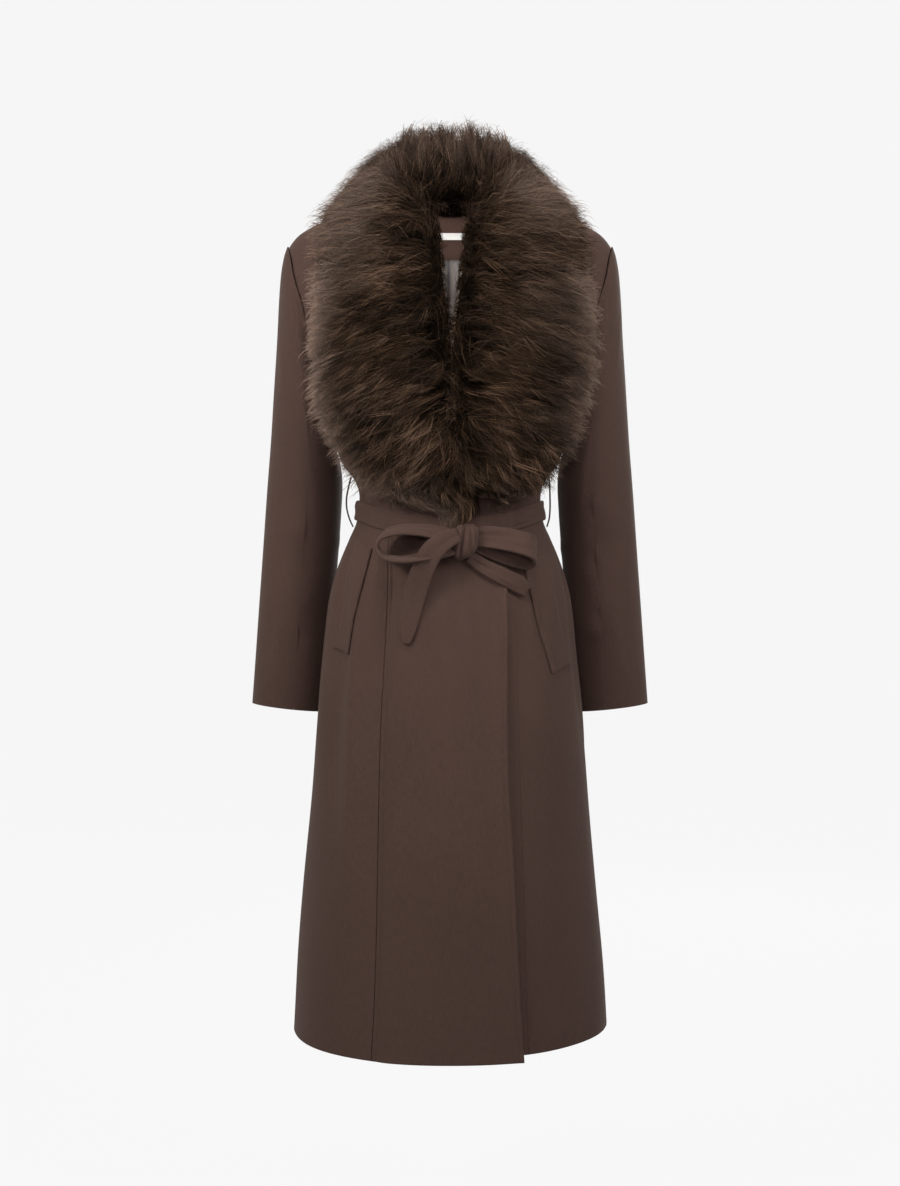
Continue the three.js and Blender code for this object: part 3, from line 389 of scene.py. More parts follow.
def maths(tree, operation, *values):
    return node(tree, "ShaderNodeMath", dict(enumerate(values)), operation=operation).outputs[0]


def mixed(tree, share, first, second, blend="MIX"):
    inputs = {0: share, 6: first, 7: second}
    return node(tree, "ShaderNodeMix", inputs, data_type="RGBA", blend_type=blend).outputs[2]


def bumped(tree, height, strength, distance):
    inputs = {"Height": height, "Strength": strength, "Distance": distance}
    return node(tree, "ShaderNodeBump", inputs).outputs[0]


def linear(colour):
    share = np.array(colour) / 255
    return tuple(np.where(share > 0.04045, ((share + 0.055) / 1.055) ** 2.4, share / 12.92))


def ramp(tree, factor, stops):
    made = node(tree, "ShaderNodeValToRGB", {"Fac": factor})
    elements = made.color_ramp.elements
    while len(elements) < len(stops):
        elements.new(0.5)
    for element, (place, colour) in zip(elements, stops):
        element.position = place
        element.color = (*linear(colour), 1)
    return made.outputs["Color"]


def newMaterial(name):
    material = bpy.data.materials.new(name)
    material.use_nodes = True
    tree = material.node_tree
    place = node(tree, "ShaderNodeTexCoord").outputs["Object"]
    return material, tree, tree.nodes["Principled BSDF"], place


# Finishes

def woolFinish(name, dark, light, nap=1.0):
    material, tree, shader, place = newMaterial(name)
    fibre = noise(tree, place, 900.0, 4.0, 0.65)
    brushed = noise(tree, stretched(tree, place, 0.22), 520.0, 3.0)
    cloud = noise(tree, place, 7.0, 2.0)
    waves = {"Vector": place, "Scale": 160.0, "Distortion": 1.6, "Detail": 2.0}
    twill = node(tree, "ShaderNodeTexWave", waves, bands_direction="DIAGONAL").outputs["Fac"]
    soft = maths(tree, "ADD", fibre, brushed)
    tone = maths(tree, "MULTIPLY_ADD", cloud, 0.2, maths(tree, "MULTIPLY", soft, 0.4))
    height = maths(tree, "MULTIPLY_ADD", twill, 0.35, soft)
    feed(tree, shader, {
        "Base Color": ramp(tree, tone, [(0.3, dark), (0.7, light)]),
        "Roughness": 0.88, "Specular IOR Level": 0.1,
        "Sheen Weight": 0.05, "Sheen Roughness": 0.45, "Sheen Tint": (0.55, 0.42, 0.36, 1.0),
        "Normal": bumped(tree, height, 0.5 * nap, 0.0006),
    })
    return material


def furFinish(name):
    # Each strand carries its place from root to tip, its own tone with painted shade at the opening, and how
    # frosted it is with a painted highlight round the neck.
    material, tree, shader, place = newMaterial(name)
    along, tone, frostAndHighlight = (
        node(tree, "ShaderNodeAttribute", attribute_name=lane).outputs["Fac"]
        for lane in ("along", "tone", "frostAndHighlight")
    )
    stops = [(0.0, (6, 4, 2)), (0.45, (25, 17, 11)), (0.75, (46, 33, 24)), (1.0, (80, 61, 47))]
    body = mixed(tree, along, (*linear((6, 4, 3)), 1), ramp(tree, tone, stops))
    pale = ramp(tree, noise(tree, place, 260.0, 2.0), [(0.3, (84, 70, 61)), (0.7, (126, 108, 97))])
    amount = maths(tree, "MULTIPLY", maths(tree, "POWER", along, 0.4), frostAndHighlight)
    feed(tree, shader, {
        "Base Color": mixed(tree, amount, body, pale), "Roughness": 0.7, "Specular IOR Level": 0.0,
    })
    return material


def backingFinish(name):
    material, tree, shader, place = newMaterial(name)
    down = noise(tree, place, 300.0, 4.0)
    feed(tree, shader, {
        "Base Color": ramp(tree, down, [(0.35, (6, 4, 3)), (0.7, (16, 11, 8))]),
        "Roughness": 0.95, "Specular IOR Level": 0.0, "Normal": bumped(tree, down, 0.8, 0.002),
    })
    return material


def satinFinish(name, dark, light, ribs, foldAt=None):
    material, tree, shader, place = newMaterial(name)
    fine = noise(tree, stretched(tree, place, 0.12), ribs, 3.0)
    tone = maths(tree, "MULTIPLY", maths(tree, "ADD", fine, noise(tree, place, 26.0, 2.0)), 0.5)
    colour = ramp(tree, tone, [(0.32, dark), (0.68, light)])
    # painted shade: a darker stripe along the pleat's line stands in for the shadow in its depth
    if foldAt is not None:  # the cloth is darker in the depth of its pleat
        across = node(tree, "ShaderNodeSeparateXYZ", {0: place}).outputs["X"]
        away = maths(tree, "ABSOLUTE", maths(tree, "SUBTRACT", across, foldAt * metre))
        shadeStops = [(0.1, (70, 60, 56)), (0.62, (255, 255, 255))]
        shade = ramp(tree, maths(tree, "MULTIPLY", away, 200.0), shadeStops)
        colour = mixed(tree, 1.0, colour, shade, "MULTIPLY")
    feed(tree, shader, {
        "Base Color": colour, "Roughness": 0.5, "Specular IOR Level": 0.55, "Anisotropic": 0.4,
        "Normal": bumped(tree, fine, 0.25, 0.0003),
    })
    return material


# the lining's last value, -2, is the pleat's line in millimetres, where painted shade darkens the lining
liningSatin = satinFinish("liningSatin", (49, 39, 34), (75, 62, 55), 700.0, -2)
labelSatin = satinFinish("labelSatin", (226, 224, 220), (240, 238, 234), 1200.0)
thread = woolFinish("stitchThread", (40, 28, 23), (54, 39, 33), 0.4)
# the neck facing's wool, painted lighter than the body's wool to stand in for the light that reaches into the
# neck
facingWoolPaintedLight = woolFinish("facingWoolPaintedLight", (62, 46, 40), (82, 61, 54))
wool = woolFinish("brownWool", (34, 23, 19), (46, 32, 27))
furPile = furFinish("longFurPile")
furBacking = backingFinish("furUndercoat")


# Body panels

def bodyRows(low):
    # Heights of a panel's rows: even down the skirt, close at the armhole, the shoulder and the edges.
    hem = low + np.array(plainEdge)
    turns = np.radians(np.arange(0, 180.01, armhole["step"]))
    arm = armMiddle - armHalf * np.cos(turns)
    count = int((arm[0] - hem[-1]) / coat["rowSpacing"])
    skirt = np.linspace(hem[-1], arm[0], count + 1)[1:-1]
    fine = np.linspace(armhole["topZ"], 0, 200)
    climb = np.concatenate([[0], np.cumsum(np.hypot(np.diff(fine), np.diff(halfWidthAt(fine))))])
    top = np.interp(spaced(climb[-1], [0], plainEdge, coat["shoulderSpacing"]), climb, fine)[1:]
    return np.concatenate([hem, skirt, arm, top])


def metric(angle, z):
    turn = 0.004
    return np.linalg.norm(bodyPoint(angle + turn, z) - bodyPoint(angle - turn, z), axis=-1) / (2 * turn)


def panelGrids(rows, start, end, edges=(plainEdge, plainEdge), lift=None, thickness=coat["thickness"],
               grooves=(False, False), radii=(seam["radius"], seam["radius"]), gaps=(1, 1),
               columnSpacing=coat["columnSpacing"]):
    # The outer and inner faces of a cloth between two lines down the coat, each an angle for a height.
    z = rows[:, None]
    a0, a1 = start(rows)[:, None], end(rows)[:, None]
    scale0, scale1 = metric(a0, z), metric(a1, z)
    across = np.linalg.norm(bodyPoint(a1, z) - bodyPoint(a0, z), axis=-1)
    first, last = np.array(edges[0], float), np.array(edges[1], float)
    room = np.minimum(1, seam["mostOfPanel"] * across / max(first[-1], last[-1]))
    left = a0 + (gaps[0] * coat["seamGap"] / 2 + first * room) / scale0
    right = a1 - (gaps[1] * coat["seamGap"] / 2 + last[::-1] * room) / scale1
    arc = (np.abs(a1 - a0) * (scale0 + scale1) / 2).max()
    count = max(int(arc / columnSpacing), 2)
    middle = lerp(left[:, -1:], right[:, :1], np.linspace(0, 1, count + 1)[1:-1])
    angles = np.concatenate([left, middle, right], 1)
    farOff = 99.0  # past all that shapes an edge
    fromStart = np.concatenate([first, np.full(count - 1 + len(last), farOff)])
    fromEnd = np.concatenate([np.full(len(first) + count - 1, farOff), last[::-1]])
    fromRow = np.minimum(rows - rows[0], (rows[-1] - rows) * 3)[:, None]  # the top is rounded more tightly
    base = bodyCreases(angles, z) + (lift(angles, z) if lift else 0)
    surface, normal = bodyPoint(angles, z), bodyNormal(angles, z)
    sideEdge = np.minimum(roundOff(fromStart, radii[0]), roundOff(fromEnd, radii[1]))[None]
    outerOffset = base + np.minimum(sideEdge, roundOff(fromRow))
    for wanted, distance in zip(grooves, (fromStart, fromEnd)):
        if wanted:
            outerOffset = outerOffset + stitchGroove(distance)[None]
    outer = surface + normal * outerOffset[..., None]
    inner = surface + normal * (base - thickness)[..., None]
    return outer, inner


stitchRuns = []  # places and normals of the rows of stitches


def noteStitches(grid, column, low=0):
    line = grid[:, column]
    normal = unit(np.cross(grid[:, column + 1] - grid[:, column - 1], np.gradient(line, axis=0)))
    stitchRuns.append((line[low:], normal[low:]))


def makePanels():
    rows, raised = bodyRows(coat["hemZ"]), bodyRows(coat["hemZ"] + coat["underHemRise"])

    def seamRight(z):
        return -frontAngle(panelSeamX(z), z)

    def seamLeft(z):
        return frontAngle(panelSeamX(z), z)

    def lift(angle, z):  # the free front edge stands off a little
        x = bodyPoint(angle, z)[..., 0]
        return liftOver(x, z) + coat["edgeStand"] * ease(20, 0, frontEdgeX(z) - x) * ease(-490, -570, z)

    panels = {
        "front_right": {
            "rows": rows, "start": seamRight, "end": lambda z: frontAngle(frontEdgeX(z), z), "lift": lift,
            "edges": (stitchedEdge, stitchedEdge), "grooves": (True, True), "radii": (0.9, 1.3),
        },
        "front_left": {
            "rows": raised, "start": lambda z: frontAngle(underEdgeX(z), z), "end": seamLeft,
            "edges": (plainEdge, stitchedEdge), "radii": (1.1, 0.3), "gaps": (1, 0.05),
        },
        "side_front_right": {
            "rows": rows, "start": lambda z: -armholeAngle(z, True), "end": seamRight, "radii": (1.1, 0.7),
        },
        "side_front_left": {
            "rows": raised, "start": seamLeft, "end": lambda z: armholeAngle(z, True),
            "radii": (0.3, 1.1), "gaps": (0.05, 1),
        },
        "back": {
            "rows": rows, "start": lambda z: armholeAngle(z, False),
            "end": lambda z: 2 * np.pi - armholeAngle(z, False),
        },
    }
    column = stitchedEdge.index(seam["stitchLine"])
    for name, shape in panels.items():
        outer, inner = panelGrids(**shape)
        piece = wallPiece("wool_" + name, outer, inner, wool)
        settle(piece, name)
        if "grooves" in shape:
            noteStitches(outer, column)
            noteStitches(outer, -1 - column)


# Sleeves

sleeve = {
    "stand": 0.25, "trim": 0.22, "frontSeam": 100, "backSeam": 240, "clearance": 1.2, "rowSpacing": 7,
    "degreeLength": 1.08,  # cloth for a degree round the sleeve
    "seamRadius": 1.9, "smoothEnd": 30,  # rounding at its seams, and how far creases fade at both ends
    # outermost point, innermost point, middle from front to back, half the ring's depth
    "rings": [
        (213, -74, 168.5, -256, 3, 56), (217, -96, 167, -266, 5, 59), (220, -130, 164, -280, 9, 62),
        (223, -180, 159, -298, 15, 64), (228, -245, 151, -325, 24, 64), (233, -312, 144.5, -358, 33, 63),
        (239, -380, 146, -402, 41, 61), (245, -455, 151, -465, 49, 59), (251, -530, 157, -538, 56, 57),
        (256.5, -600, 161, -609, 62, 55), (261, -657, 164, -668, 66, 54),
    ],
    # creases: degrees round the sleeve and distance down it at each end, width, depth, bow
    "creases": {
        1: [
            (60, 300, 125, 275, 8, -2.2, 6), (40, 330, 120, 318, 9, 1.6, -7),
            (70, 372, 140, 340, 8, -2.0, 6), (130, 250, 190, 235, 8, -1.8, 4),
            (150, 300, 215, 300, 9, 1.8, 6), (20, 70, 60, 130, 12, -1.2, 6),
            (-40, 60, -70, 150, 12, -1.4, -6), (-20, 300, -90, 340, 11, 1.3, 8),
            (80, 430, 60, 520, 10, -1.0, 5), (-60, 420, -80, 560, 12, 1.1, 6),
            (95, 95, 120, 190, 9, -1.6, 5), (200, 380, 170, 430, 9, -1.5, 4),
        ],
        -1: [
            (55, 285, 130, 262, 8, 2.0, 6), (50, 320, 125, 300, 9, -2.2, -6),
            (75, 365, 135, 352, 8, 1.7, 5), (125, 240, 185, 226, 8, -1.8, 4),
            (155, 315, 210, 296, 9, 1.7, -5), (25, 80, 55, 150, 12, -1.3, 5),
            (-45, 70, -65, 160, 12, -1.3, 6), (-25, 320, -85, 350, 11, 1.4, -7),
            (70, 440, 50, 540, 10, -1.1, 5), (-50, 440, -75, 570, 12, 1.2, 6),
            (92, 105, 118, 200, 9, -1.5, -5), (195, 390, 165, 440, 9, -1.5, 4),
        ],
    },
}


def sleeveRings(turn):
    # The sleeve's rings from the armhole to the cuff, each held clear of the coat's side.
    z = armMiddle + armHalf * np.cos(turn)
    first = bodyPoint(armholeAngle(z, np.sin(turn) >= 0), z)
    first[:, 0] = first[:, 0] + sleeve["stand"]
    rings = [first]
    share = (1 + np.cos(turn)) / 2
    for outX, outZ, inX, inZ, midY, depth in sleeve["rings"]:
        ring = np.stack([lerp(inX, outX, share), midY - depth * np.sin(turn), lerp(inZ, outZ, share)], -1)
        reach = np.where(ring[:, 1] < 0, frontAt(ring[:, 2]), backAt(ring[:, 2]))
        power = squareAt(ring[:, 2])
        inward = np.minimum(np.abs(ring[:, 1]) / reach, 1)
        least = halfWidthAt(ring[:, 2]) * (1 - inward**power) ** (1 / power) + sleeve["clearance"]
        near = (ring[:, 2] <= armhole["bottomZ"] + 12) & (inward < 1)
        ring[:, 0] = np.where(near, np.maximum(ring[:, 0], least), ring[:, 0])
        rings.append(ring)
    return np.array(rings)


def sleeveGrids(side, low, high):
    # A sleeve piece between two seams, which are degrees round the sleeve.
    step, degree = armhole["step"], sleeve["degreeLength"]
    edge = np.array(plainEdge) / degree
    even = np.arange(np.ceil((low + edge[-1] + 0.5) / step) * step, high - edge[-1] - 0.5, step)
    turns = np.concatenate([low + sleeve["trim"] + edge, even, high - sleeve["trim"] - edge[::-1]])
    fromSeam = np.minimum(turns - turns[0], turns[-1] - turns) * degree
    rings = sleeveRings(np.radians(turns))
    path = np.concatenate([[0], np.cumsum(np.linalg.norm(np.diff(rings.mean(1), axis=0), axis=-1))])
    length = path[-1]
    rings = np.concatenate([[2 * rings[0] - rings[1]], rings, [2 * rings[-1] - rings[-2]]])
    down = spaced(length, plainEdge, plainEdge, sleeve["rowSpacing"])
    place = np.interp(down, path, np.arange(len(path)))
    k = np.minimum(place.astype(int), len(path) - 2)
    t = (place - k)[:, None, None]
    p0, p1, p2, p3 = (rings[k + j] for j in range(4))
    grid = 0.5 * (2 * p1 + (p2 - p0) * t + (2 * p0 - 5 * p1 + 4 * p2 - p3) * t**2
                  + (3 * p1 - p0 - 3 * p2 + p3) * t**3)
    normal = unit(np.cross(np.gradient(grid, axis=0), np.gradient(grid, axis=1)))
    creases = onCloth(sleeve["creases"][side], degree)
    crease = creaseDepth(turns[None] * degree, down[:, None], creases, 360 * degree)
    plain = sleeve["smoothEnd"]
    crease = crease * ease(0, plain, down)[:, None] * ease(length, length - plain, down)[:, None]
    fromEnd = roundOff(np.minimum(down, length - down))[:, None]
    edgeShape = np.minimum(roundOff(fromSeam, sleeve["seamRadius"])[None], fromEnd)
    outer = grid + normal * (crease + edgeShape)[..., None]
    inner = grid + normal * (crease - coat["thickness"])[..., None]
    closing = sleeve["trim"] * degree / plainEdge[1]  # the inner faces meet at the seam
    inner[:, 0] += (inner[:, 0] - inner[:, 1]) * closing
    inner[:, -1] += (inner[:, -1] - inner[:, -2]) * closing
    flip = np.array([side, 1, 1])
    outer, inner = outer[::-1] * flip, inner[::-1] * flip  # from the cuff up
    return (outer[:, ::-1], inner[:, ::-1]) if side < 0 else (outer, inner)


def makeSleeves():
    front, back = sleeve["frontSeam"], sleeve["backSeam"]
    for word, side in sides.items():
        for part, (low, high) in {"top": (back - 360, front), "under": (front, back)}.items():
            outer, inner = sleeveGrids(side, low, high)
            piece = wallPiece(f"wool_sleeve_{part}_{word}", outer, inner, wool)
            settle(piece, f"sleeve_{part}_{word}")


# Fur collar

collar = {
    "halfGap": 0.4, "room": 1.3, "neckSeat": 1.4, "chestSeat": 4.6, "beltSeat": 12,
    # seat, rim, inner face, crown and outer face of the rows round the neck, from the centre back
    "neckRows": [
        ((0, 0), (0, -72), (0, 42, 48), (0, 74, 115), (0, 121, 36)),
        ((42, 0), (82, -60), (34, 34, 46), (54, 64, 106), (92, 100, 30)),
        ((69, 0), (132, -36), (52, 12, 34), (88, 32, 70), (124, 48, 14)),
        ((73, -3), (139, -20), (45, -26, 18), (94, -16, 55), (131, -16, 10)),
    ],
    # where the fur begins at the opening, where it ends, its height
    "chestRows": {
        -1: [
            (-18, -42, -158, -66, 50), (-11, -100, -160, -130, 48), (-7, -165, -158, -205, 46),
            (-3, -228, -149, -275, 46), (2, -280, -125, -328, 44), (7, -325, -85, -371, 42),
            (14, -360, -42, -398, 37), (27, -392, 2, -419, 27),
        ],
        1: [
            (21, -42, 158, -66, 50), (16, -100, 162, -130, 48), (12, -165, 162, -200, 46),
            (8, -228, 153, -256, 46), (8, -280, 140, -304, 44), (13, -322, 117, -341, 42),
            (21, -356, 86, -374, 37), (31, -383, 56, -394, 28),
        ],
    },
    "flare": {-1: 0.95, 1: 0.97},
    "rowsAlong": 150, "rowsAcross": 56, "backingDepth": 30, "backingThickness": 2,
}
pile = {
    "strands": 61000, "length": 42, "width": 0.57, "lockSize": 12, "wispSize": 4.4, "seed": 11,
    "depth": 26, "least": 0.3,  # from the pile's outer face down to its roots, and their least share of it
    # along each strand: its points, and its half width at all but the tip
    "shares": [0, 0.36, 0.72, 1.0], "taper": [0.5, 0.5, 0.36],
    # random spread of what sets locks, wisps and strands apart
    "lockSpread": {"turn": 0.25, "tone": 0.15, "length": 0.14},
    "wispSpread": {"turn": 0.26, "tone": 0.24, "length": 0.13, "high": 4.6},
    "guardShare": 0.14, "rimShare": 0.92, "chestFrom": 0.46,
    # how far the pile drifts downwards: place along the collar, radians
    "drift": [(0, 0), (0.45, 0.0), (0.6, 0.1), (0.75, 0.36), (0.86, 0.7), (0.95, 1.0), (1, 1.15)],
    # how far it spills over the edge of the opening: place along the collar, millimetres
    "spill": [(0, 2), (0.4, 3), (0.5, 4.5), (0.58, 9), (0.7, 11), (0.85, 12), (1, 8)],
    # how far strands fall at the neck, and the height where they end
    "neckFall": 76, "neckEnd": -6,
    # how far the backing reaches into the opening: place along the collar, millimetres
    "lip": [(0, 0), (0.47, 0), (0.54, 3.5), (0.6, 5), (0.66, 3.5), (0.75, 1), (1, 0)],
    "tipFall": {-1: 20, 1: 6}, "rimFrost": {-1: 0.72, 1: 0.5},
}


def collarGrids(side):
    # The fur's outer face and its underside, from the centre back to the front tip, from opening to rim.
    guides = []
    for i, (seat, rim, inner, crown, outer) in enumerate(collar["neckRows"]):
        angleAt = frontAngle if i == len(collar["neckRows"]) - 1 else backAngle
        room = collar["chestSeat"] if angleAt is frontAngle else collar["neckSeat"]
        shape = [np.array(p, float) * (side, 1, 1) for p in (inner, crown, outer)]
        guides.append((side * angleAt(*seat), seat[1], side * angleAt(*rim), rim[1], room, *shape))
    table = collar["chestRows"][side]
    for i, (inX, inZ, outX, outZ, height) in enumerate(table):
        room = lerp(collar["chestSeat"], collar["beltSeat"], ease(len(table) - 4, len(table) - 2, i))
        shape = []
        for share, high in ((0.07, 0.66), (0.46, 1), (collar["flare"][side], 0.6)):
            x, z = lerp(inX, outX, share), lerp(inZ, outZ, share)
            shape.append(outFrom(frontAngle(x, z), z, room + height * high))
        guides.append((frontAngle(inX, inZ), inZ, frontAngle(outX, outZ), outZ, room, *shape))
    along = np.linspace(0, 1, collar["rowsAlong"] + 1)
    at = along * (len(guides) - 1)
    seatAngle, seatZ, rimAngle, rimZ, room = (
        smooth([(i, guide[k]) for i, guide in enumerate(guides)])(at) for k in range(5)
    )
    faces = [curveAlong([guide[k] for guide in guides], along) for k in (5, 6, 7)]

    def below(t):
        angle = lerp(rimAngle, seatAngle, t)
        z = np.minimum(lerp(rimZ, seatZ, t), 0)
        lift = np.where(np.cos(angle) > 0, liftOver(bodyPoint(angle, z)[..., 0], z) + collar["room"], 0)
        return outFrom(angle, z, np.maximum(room, lift))

    ribs = np.array([below(1), *faces, below(0)])
    share = np.linspace(0, 1, collar["rowsAcross"] + 1)
    outer = np.stack([curveThrough(ribs, np.full(len(along), s)) for s in share], 1)
    under = np.stack([below(1 - s) for s in share], 1)
    outer[0, :, 0] = under[0, :, 0] = side * collar["halfGap"]
    return outer, under


def sampled(grid, a, t):
    # The place at a along and t across a grid, both from 0 to 1.
    rows, columns = grid.shape[0] - 1, grid.shape[1] - 1
    i, j = np.clip(a, 0, 1) * rows, np.clip(t, 0, 1) * columns
    i0, j0 = np.minimum(i.astype(int), rows - 1), np.minimum(j.astype(int), columns - 1)
    u, v = (i - i0)[:, None], (j - j0)[:, None]
    low = lerp(grid[i0, j0], grid[i0, j0 + 1], v)
    return lerp(low, lerp(grid[i0 + 1, j0], grid[i0 + 1, j0 + 1], v), u)


def scatter(grid, count, chance):
    # Random places spread evenly over a grid's surface.
    d1, d2 = grid[1:, 1:] - grid[:-1, :-1], grid[1:, :-1] - grid[:-1, 1:]
    area = np.linalg.norm(np.cross(d1, d2), axis=-1)
    cell = chance.choice(area.size, count, p=area.ravel() / area.sum())
    i, j = np.divmod(cell, area.shape[1])
    return (i + chance.random(count)) / area.shape[0], (j + chance.random(count)) / area.shape[1]


def nearest(grid, a, t, centreA, centreT):
    # For each place, which of the centres is nearest.
    tree = kdtree.KDTree(len(centreA))
    for i, place in enumerate(sampled(grid, centreA, centreT)):
        tree.insert(place, i)
    tree.balance()
    return np.array([tree.find(place)[1] for place in sampled(grid, a, t)])


def makeBacking(side, word, outer, under):
    # The dark hide and undercoat below the pile, which the strands grow out of.
    deep = np.linalg.norm(outer - under, axis=-1, keepdims=True)
    height = np.maximum(1 - collar["backingDepth"] / np.maximum(deep, 1), pile["least"] - 0.08)
    face = lerp(under, outer, height)
    lower = lerp(under, outer, height - np.minimum(collar["backingThickness"] / np.maximum(deep, 1), 0.2))
    lip = smooth(pile["lip"])(np.linspace(0, 1, len(outer)))[:, None] * ease(6, 0, np.arange(outer.shape[1]))
    lip = unit((outer[:, 8] - outer[:, 34]) * (1, 1, 0))[:, None] * lip[..., None]  # towards the opening
    face, lower = face + lip, lower + lip
    face[0, :, 0] = lower[0, :, 0] = -side * 0.3  # the halves lap at the centre back
    dense = int(pile["rimShare"] * collar["rowsAcross"])
    face, lower = face[::2, :dense:2], lower[::2, :dense:2]  # half as fine, as the pile hides it
    if side > 0:
        face, lower = face[::-1], lower[::-1]
    backing = wallPiece(f"fur_backing_{word}", face, lower, furBacking)
    settle(backing, f"fur_collar_{word}")


def gatherWisps(grid, chance):
    # Wisps gather in locks: their places, turn from the drift, tone, share of the length, and height.
    cells = np.cross(np.diff(grid, axis=0)[:, 1:], np.diff(grid, axis=1)[1:])
    area = np.linalg.norm(cells, axis=-1).sum()
    lockA, lockT = scatter(grid, int(area / pile["lockSize"] ** 2), chance)
    a, t = scatter(grid, int(area / pile["wispSize"] ** 2), chance)
    lock = nearest(grid, a, t, lockA, lockT)
    wide, narrow = pile["lockSpread"], pile["wispSpread"]
    turn = chance.normal(0, wide["turn"], len(lockA))
    tone = chance.normal(0, wide["tone"], len(lockA))
    length = chance.normal(1, wide["length"], len(lockA))
    return {
        "a": a, "t": t,
        "turn": turn[lock] + chance.normal(0, narrow["turn"], len(a)),
        "tone": tone[lock] + chance.normal(0, narrow["tone"], len(a)),
        "length": length[lock] * chance.normal(1, narrow["length"], len(a)),
        "high": chance.normal(-0.5, narrow["high"], len(a)),
    }


def strandRoots(grid, chance):
    # Places of the strands, which are fewer on the rim's outer face.
    total = pile["strands"] // 1
    a, t = scatter(grid, total, chance)
    t = np.clip(t * 1.06 - 0.04, 0, 1)
    kept = (t < pile["rimShare"]) | (chance.random(total) < 0.6)
    return a[kept], t[kept]


def wispReach(wisps, stepA, stepT, chance):
    # How far a wisp's tip goes along the collar and across it, as shares of the grid.
    a, t = wisps["a"], wisps["t"]
    alongA = np.maximum(sampled(stepA, a, t)[:, 0], 60)
    alongT = np.maximum(sampled(stepT, a, t)[:, 0], 60)
    turn = smooth(pile["drift"])(a) + wisps["turn"] * (1 + 0.8 * ease(0.35, 0.05, t))  # wilder at the opening
    reach = pile["length"] * wisps["length"] * lerp(1, 0.72, ease(0.85, 1, a))  # shorter at the front tip
    inward = (t < 0.1) & (chance.random(len(a)) < 0.6)  # some turn in, over the edge of the opening
    reach = np.where(inward, reach * 0.42, reach)
    return reach * np.sin(turn) / alongA, reach * np.cos(turn) / alongT * np.where(inward, -0.75, 1)


def strandTraits(a, t, wispHigh, chance):
    # What sets a strand apart in its wisp.
    total = len(a)
    gather = np.clip(chance.normal(0.62, 0.12, total), 0, 0.9)
    own = np.clip(chance.normal(1, 0.14, total), 0.6, 1.35)
    guard = chance.random(total) < pile["guardShare"]  # longer hairs that stand out
    rimReach = np.where(guard, 11, np.clip(chance.normal(4, 3, total), 0, 9))  # past the rim
    standing = 7.5 + 6 * ease(0.08, 0.16, a) * ease(0.5, 0.4, a)  # off the face, most beside the neck
    return {
        "gather": gather, "own": own, "guard": guard,
        "rimReach": rimReach * lerp(1, 3.6, ease(0.7, 0.84, a)),
        "edgeAt": np.where(t < 0.8, lerp(1, 0.8, ease(0.4, 0.52, a)), 1),  # where hairs leave the rim's roll
        "proud": wispHigh + chance.normal(0, 2, total) + np.where(guard, standing, 0),
        "spread": np.clip(chance.normal(0.9, 0.35, total), 0.1, 1.7),
        "swayA": chance.normal(0, 0.006, total), "swayT": chance.normal(0, 0.02, total),
    }


def strandPoints(side, u, hair, surface):
    # Where every strand is at the share u of its length.
    under, outer, stepA, stepT = surface
    pull, grown = 1 - hair["gather"] * u**1.3, hair["own"] * u
    atA = hair["wispA"] + (hair["a"] - hair["wispA"]) * pull + hair["deltaA"] * grown + hair["swayA"] * u**2
    atT = hair["wispT"] + (hair["t"] - hair["wispT"]) * pull + hair["deltaT"] * grown + hair["swayT"] * u**2
    mirror = np.where(atA < 0, -1.0, 1.0)  # strands cross the centre back
    atA = np.abs(atA)
    onRoll = np.minimum(atT, hair["edgeAt"])
    low, top = sampled(under, atA, onRoll), sampled(outer, atA, onRoll)
    thick = np.maximum(np.linalg.norm(top - low, axis=-1), 8)
    root = np.maximum(1 - pile["depth"] / thick, pile["least"])
    high = root + (1 + hair["proud"] / np.maximum(thick, 25) - root) * (1 - (1 - u) ** 1.7)
    place = lerp(low, top, high[:, None])

    def toward(near, far):  # a direction across the pile
        return sampled(outer, atA, np.full(len(atA), near)) - sampled(outer, atA, np.full(len(atA), far))

    stretch = sampled(stepT, atA, atT)[:, 0]
    beyond = np.minimum(np.maximum(atT - hair["edgeAt"], 0) * stretch, hair["rimReach"])
    before = np.minimum(np.maximum(-atT, 0) * stretch, 7)
    place = place + unit(toward(0.8, 0.55)) * beyond[:, None] * 0.8  # out past the rim
    place = place + unit(toward(0.0, 0.12)) * before[:, None] * 0.9  # in past the opening's edge
    bulge = np.sin(np.pi * min(u * 0.75, 0.5))  # the fur spills over that edge in a soft roll
    spill = smooth(pile["spill"])(atA) * hair["spread"] * ease(0.34, 0.06, hair["t"]) * bulge
    place = place + unit(toward(0.15, 0.6) * (1, 1, 0)) * spill[:, None]
    past = np.maximum(atA - 1, 0) * sampled(stepA, atA, atT)[:, 0]  # below the front tip
    place[:, 2] -= np.minimum(past, pile["tipFall"][side]) + 2.5 * u**2 * ease(0.25, 0.4, atA)
    byNeck = ease(0.24, 0.12, atA) * ease(0.34, 0.14, hair["t"])  # inside the back neck they hang down
    place[:, 2] -= pile["neckFall"] * u * np.clip(hair["spread"], 0.7, 1.1) * byNeck
    least = np.where(byNeck > 0.2, pile["neckEnd"] - 3 * hair["spread"], -np.inf)
    place[:, 2] = np.maximum(place[:, 2], least)
    place[:, 0] *= mirror
    return place


